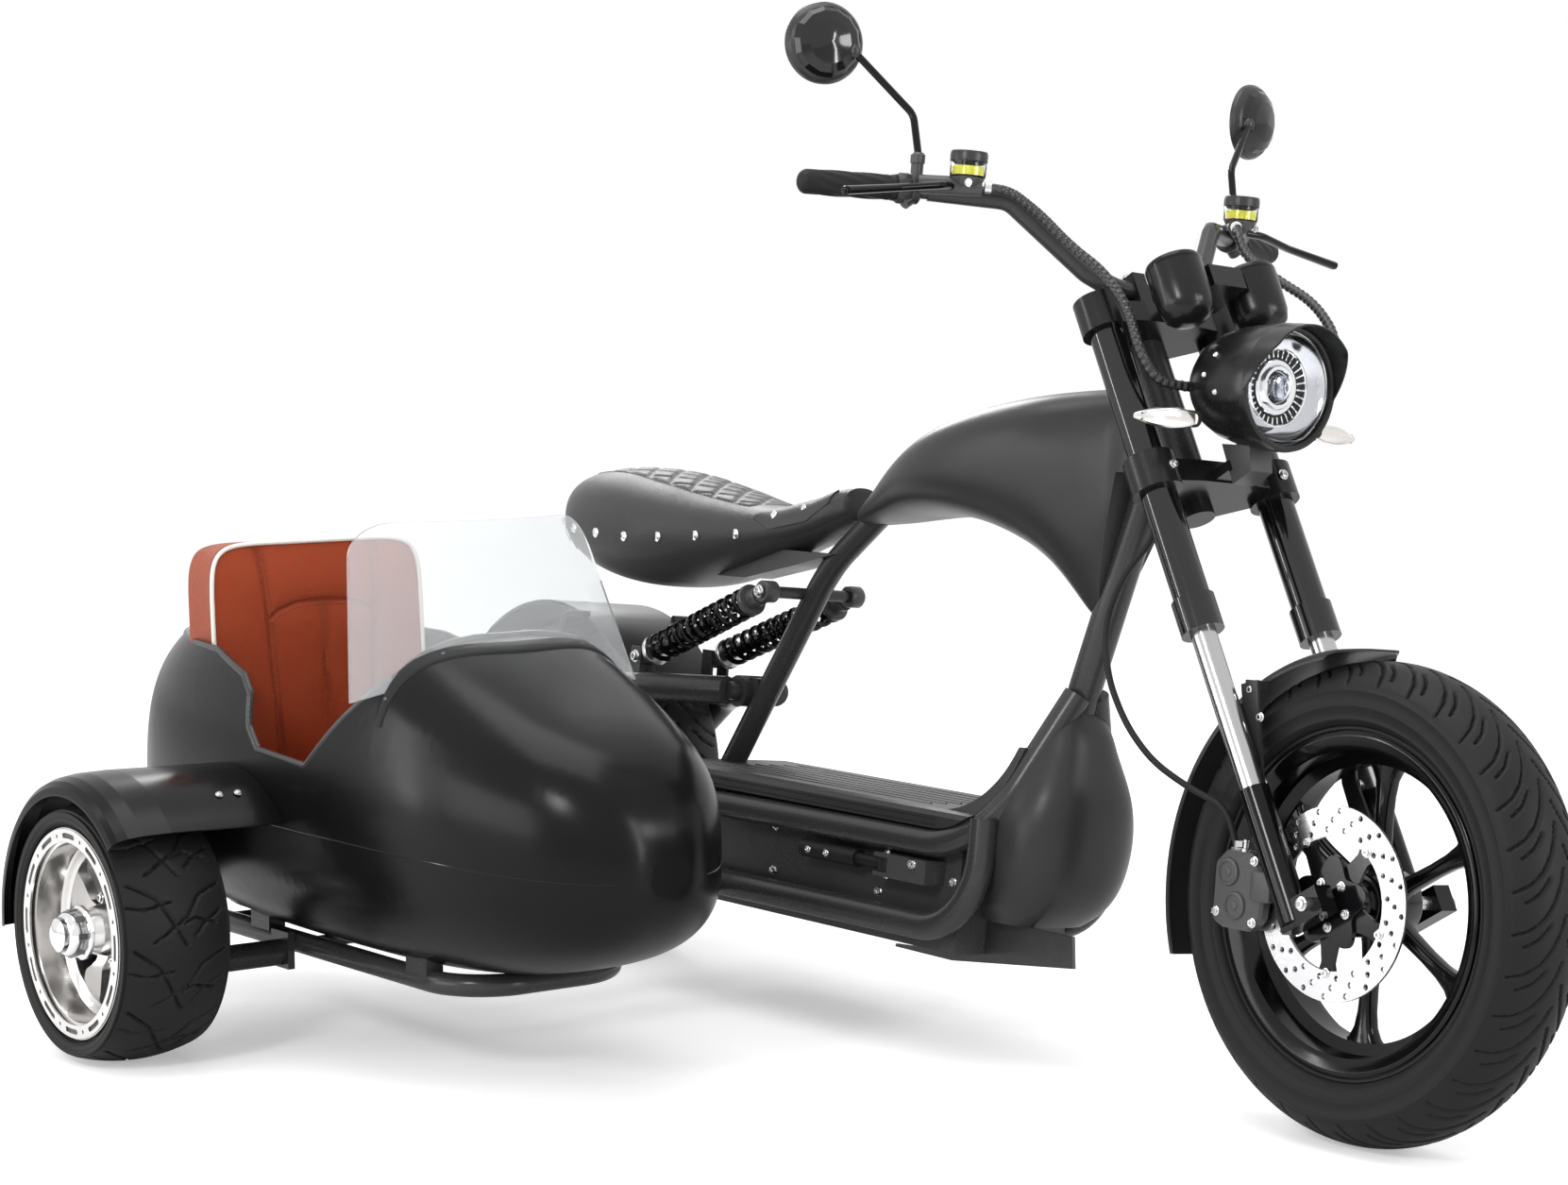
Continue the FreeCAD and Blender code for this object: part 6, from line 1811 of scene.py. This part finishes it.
@dataclass
class Windscreen:
    """The clear screen, its lower rear corners trimmed along the cockpit's edge so that it ends on the cowl."""

    trim: Sequence[Pair] = ((-1130, 330), (-1130, 452), (-975, 452), (-904, 498), (-870, 502), (-870, 330))
    reach: Pair = (-1000.0, -100.0)

    def build(self, source: Object) -> None:
        """Trim a copy of the CAD screen.

        Args:
            source: The CAD screen, which stays as it is.
        """
        knife = Piece("screen_trim", CAR)
        knife.skin([[(x, y, z) for x, z in self.trim] for y in self.reach], SCREEN_PAINTED_REFLECTION_GLASS)
        cutter = show("screen_trim", knife.to_mesh())
        sheet = source.data.copy()
        sheet.transform(source.matrix_world)
        holder = show("screen_copy", sheet)
        modifier = holder.modifiers.new("trim", "BOOLEAN")
        modifier.operation = "DIFFERENCE"
        modifier.solver = "EXACT"
        modifier.object = cutter
        piece = Piece("windscreen", CAR)
        piece.add_mesh(plain_mesh(holder, cutter), SCREEN_PAINTED_REFLECTION_GLASS)
        piece.done("chassis", "clear_glass", "windshield")


@dataclass
class CockpitEdge:
    """The rolled bead round the cockpit's edge, which follows the cut in the tub on both sides."""

    cut: Sequence[Pair] = ((-1668, 505), (-1350, 495), (-1256, 472), (-1228, 452), (-1218, 411), (-1190, 384),
                           (-1070, 376), (-1004, 437), (-958, 478), (-936, 500), (-934, 560))

    def side(self, s: int) -> list[Vector]:
        """The bead's line on one side, from the tail forwards."""
        tub = TubSurface()
        line = even_points(rounded_path([(x, 0, z) for x, z in self.cut], 9.0, 2.0), 4.0)
        halves = [tub.half_at(p.x, p.z) for p in line]
        return [Vector((p.x, tub.y + s * max(0.0, half - 3.0), p.z)) for p, half in zip(line, halves) if half > 0]

    def build(self) -> None:
        """Sweep the bead round the opening."""
        piece = Piece("cockpit_bead", CAR)
        right, left = self.side(-1), self.side(1)
        piece.sweep(right + left[::-1] + right[:1], 4.6, SATIN_BLACK, 14)
        piece.done("chassis", "rubber")


class SmallBolts:
    """The bright bolts that show about the machine, in pieces of one body and size."""

    def build(self) -> None:
        """Set the bolts of every body."""
        panel = self._both_sides(91.6, (-994, 240), (-993, 180), (-770, 182), (-626, 214), (-1190, 240), (-1190, 180))
        self._set("panel_bolts", panel + self._both_sides(125.2, (-668, 230)), BIKE, "chassis", 5.0)
        fender = self._both_sides(77.6, (-150, 500), (-118, 398), (-92, 336), (-131, 470))
        self._set("fender_bolts", fender, BIKE, "steering", 4.2)
        fork_marks = []
        for s in (-1, 1):
            fork_marks.append(((31, s * (FORK_Y - 6), 540), FORE, UP))
            for x, y, z in ((0, s * FORK_Y, 780.0), (7, s * 36 - 5, 814.0), (7, s * 36 + 5, 814.0)):
                fork_marks.append(((x, y, z), UP, FORE))
        fork_marks.append(((-40, 0, 772.0), UP, FORE))
        self._set("clamp_bolts", fork_marks, FORK, "steering", 5.0)
        self._set("axle_bolts", self._both_sides(121.5, (0, FRONT_R)), BIKE, "steering", 6.0)
        rear = [mark for y, *place in ((154, -1590, 240), (88, -1080, 548), (79, -1369, 436))
                for mark in self._both_sides(y, place)]
        self._set("rear_bolts", rear, BIKE, "chassis", 6.5)
        tilt = math.radians(60.0)
        aim = (math.cos(tilt), 0, math.sin(tilt))
        guard = [((-1257 + 198.4 * aim[0], y, 165 + 198.4 * aim[2]), aim, LEFT) for y in (-812, -786)]
        self._set("guard_bolts", guard, CAR, "chassis", 3.4)
        for s, name in ((-1, "right"), (1, "left")):
            pegs = [((x, s * (112 + 11.2), 222), (0, s, 0), FORE) for x in (-845, -883)]
            pegs += [((-732, s * 112, 222 + 15), UP, FORE), ((-732, s * 112, 222 - 15), (0, 0, -1), FORE)]
            self._set("peg_bolts_" + name, pegs, BIKE, "foot_peg_" + name, 4.0)

    @staticmethod
    def _both_sides(y: float, *places: Pair) -> list[Mark]:
        """Marks facing outwards at places on the right side and then on the left."""
        return [((x, s * y, z), (0, s, 0), FORE) for s in (-1, 1) for x, z in places]

    @staticmethod
    def _set(name: str, marks: Sequence[Mark], place: Matrix, body: str, size: float) -> None:
        """One piece of bolts on one body."""
        piece = Piece(name, place)
        piece.scatter(Hardware.bolt(size), marks, BOLT_STEEL, 1.0)
        piece.done(body, "steel")


@dataclass
class DeckRibs:
    """The mat's raised ribs along the footboard and the lines on its rolled edges."""

    ribs: Sequence[float] = (-75, -50, -25, 0, 25, 50, 75)
    lines: Sequence[Pair] = ((118.0, 292.0), (118.0, 284.0))

    def build(self) -> None:
        """Make the ribs as one piece."""
        piece = Piece("deck_ribs", BIKE)
        for y in self.ribs:
            piece.sweep([(x, y, 304.0) for x in (-1170, -900, -700)], 2.4, MAT_RUBBER, 10, 0.6)
        for s in (-1, 1):
            for y, z in self.lines:
                piece.sweep([(x, s * y, z) for x in (-1235, -900, -640)], 1.0, RUBBER, 8)
        piece.done("chassis", "rubber")


@dataclass
class Studio:
    """The pale floor and backdrop, the soft lamps and the camera of the photograph."""

    floor_half: float = 60.0
    floor_white: tuple[float, ...] = (0.88, 0.88, 0.88, 1)
    floor_glow: float = 0.36
    sky_light: float = 0.76
    lamp_rows: Sequence[tuple] = (
        ("key_box", (1.6, -3.4, 2.6), 0.8, 0.8, 50.0), ("top_box", (-0.2, -0.2, 3.4), 2.2, 2.2, 44.0),
        ("side_box", (-0.6, -4.2, 1.0), 2.6, 1.3, 38.0), ("fill_box", (3.6, 1.6, 1.8), 0.8, 0.8, 22.0),
        ("rear_box", (-3.2, 1.8, 2.4), 1.2, 1.2, 40.0), ("right_strip", (-2.2, -3.2, 1.3), 0.20, 2.2, 24.0),
        ("front_strip", (3.7, 0.7, 1.3), 0.16, 2.4, 30.0),
    )
    aim: Point = (0, 0, 0.5)
    eye: Point = (3.5005, -2.6719, 0.9721)
    yaw: float = math.radians(142.637)
    pitch: float = math.radians(5.036)
    lens: float = 81.07

    def build(self) -> None:
        """Set the whole stage."""
        self.floor()
        self.world()
        self.lamps()
        self.camera()
        bpy.context.scene.view_settings.view_transform = "Standard"

    @staticmethod
    def _seen(tree: NodeTree, *rays: str) -> NodeSocket:
        """1 for the named kinds of ray and 0 for all others."""
        path = add_node(tree, "ShaderNodeLightPath").outputs
        seen = path[rays[0]]
        for ray in rays[1:]:
            seen = calculate(tree, "MAXIMUM", seen, path[ray])
        return seen

    def floor(self) -> None:
        """A white floor that shows white to the camera and keeps the machine's shadow."""
        mesh = bpy.data.meshes.new("floor")
        f = self.floor_half
        mesh.from_pydata([(-f, -f, 0), (f, -f, 0), (f, f, 0), (-f, f, 0)], [], [(0, 1, 2, 3)])
        made = bpy.data.materials.new("studio_floor")
        made.use_nodes = True
        tree = made.node_tree
        tree.nodes.clear()
        seen = self._seen(tree, "Is Camera Ray", "Is Transmission Ray")
        paint = add_node(tree, "ShaderNodeBsdfDiffuse", {"Color": self.floor_white})
        glow = add_node(tree, "ShaderNodeEmission", {"Strength": calculate(tree, "MULTIPLY", seen, self.floor_glow)})
        both = add_node(tree, "ShaderNodeAddShader", {0: paint.outputs[0], 1: glow.outputs[0]})
        add_node(tree, "ShaderNodeOutputMaterial", {"Surface": both.outputs[0]})
        mesh.materials.append(made)
        obj = show("floor", mesh)

    def world(self) -> None:
        """A white surround, plain for light and full white where it is seen."""
        world = bpy.data.worlds.new("studio")
        bpy.context.scene.world = world
        world.use_nodes = True
        tree = world.node_tree
        seen = self._seen(tree, "Is Camera Ray", "Is Transmission Ray", "Is Glossy Ray")
        level = add_node(tree, "ShaderNodeMapRange", {"Value": seen, "To Min": self.sky_light, "To Max": 1.0})
        feed(tree, tree.nodes["Background"], {"Color": (1, 1, 1, 1), "Strength": level.outputs["Result"]})

    def lamps(self) -> None:
        """Large soft lamps above and to both sides, with narrow strips that draw the bright streaks on black paint."""
        for name, at, size, tall, power in self.lamp_rows:
            light = bpy.data.lights.new(name, "AREA")
            light.shape = "RECTANGLE"
            light.size, light.size_y = size, tall
            light.energy = power
            obj = show(name, light)
            obj.location = at
            obj.rotation_euler = (Vector(self.aim) - Vector(at)).to_track_quat("-Z", "Y").to_euler()

    def camera(self) -> None:
        """The photograph's viewpoint."""
        data = bpy.data.cameras.new("camera")
        data.sensor_width = 36.0
        data.lens = self.lens
        data.clip_start, data.clip_end = 0.05, 200.0
        cam = show("camera", data)
        cam.location = self.eye
        view = Vector((math.cos(self.yaw) * math.cos(self.pitch), math.sin(self.yaw) * math.cos(self.pitch),
                       -math.sin(self.pitch)))
        cam.rotation_euler = view.to_track_quat("-Z", "Y").to_euler()
        bpy.context.scene.camera = cam


def tyres() -> None:
    """The three tyres with their own treads."""
    sweep = [(0.0, 3.0), (16.0, 8.0), (36.0, 17.0), (54.0, 28.0), (68.0, 41.0), (76.0, 54.0)]
    short = [(62.0, 22.0), (78.0, 33.0), (88.0, 45.0)]
    Tyre("front_tyre", "front_wheel", BIKE, (0, 0, FRONT_R), radius=FRONT_R, width=120.0, bead=178.0, bead_half=46.0,
         crown=70.0, pitches=34, columns=26, grooves=(sweep, short), groove_half=1.7, groove_deep=4.6, rows=56).build()
    wide = [(0.0, 6.0), (20.0, 18.0), (44.0, 40.0), (60.0, 64.0), (66.0, 86.0)]
    inner = [(62.0, 34.0), (78.0, 54.0), (84.0, 76.0)]
    Tyre("rear_tyre", "rear_wheel", BIKE, (-1590, 0, 240), radius=239.34, width=190.0, bead=152.0, bead_half=72.0,
         crown=190.0, pitches=28, columns=24, grooves=(wide, inner), groove_half=1.8, groove_deep=4.6).build()
    cross = ([(0, -60), (26, -26), (60, -6), (84, 8)], [(10, 62), (24, 30), (50, 12), (78, -34)],
             [(44, 60), (60, 34), (74, 20)], [(30, -8), (36, -44), (30, -64)], [(60, 50), (52, 22), (58, 6)])
    Tyre("side_tyre", "side_wheel", CAR, (-1257, -900, 165), radius=165.0, width=145.0, bead=118.0, bead_half=62.0,
         crown=220.0, pitches=12, columns=40, grooves=cross, groove_half=1.6, groove_deep=4.0, mirrored=False).build()


def paint_nodes(frame: dict) -> None:
    """Give every CAD node its finish."""
    for name, obj in frame["nodes"].items():
        obj.data.materials.clear()
        obj.data.materials.append(NODE_FINISH[name].material())
        for face in obj.data.polygons:
            face.material_index = 0


def main() -> None:
    """Build the looks round the frame."""
    logging.basicConfig(level=logging.INFO, format="%(message)s")
    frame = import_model()
    paint_nodes(frame)
    tyres()
    DrilledDisc("front_disc", "front_wheel", BIKE, (0, -71.5, 274), -1.0).build()
    for part in (Caliper, CastRim, SideRimTrim, SidecarSeat, Saddle):
        part().build()
    shocks = Piece("coil_shocks", BIKE)
    for side in (-1, 1):
        Shock(side).build(shocks)
    shocks.done("chassis", "cast_black", "rear_shocks")
    for part in (Headlamp, Controls, Mirrors, Instruments, Grips, TurnSignals, CableSleeves):
        part().build()
    Windscreen().build(frame["nodes"]["windshield"])
    for part in (CowlTrim, CockpitEdge, SmallBolts, DeckRibs, Studio):
        part().build()


if __name__ == "__main__":
    main()
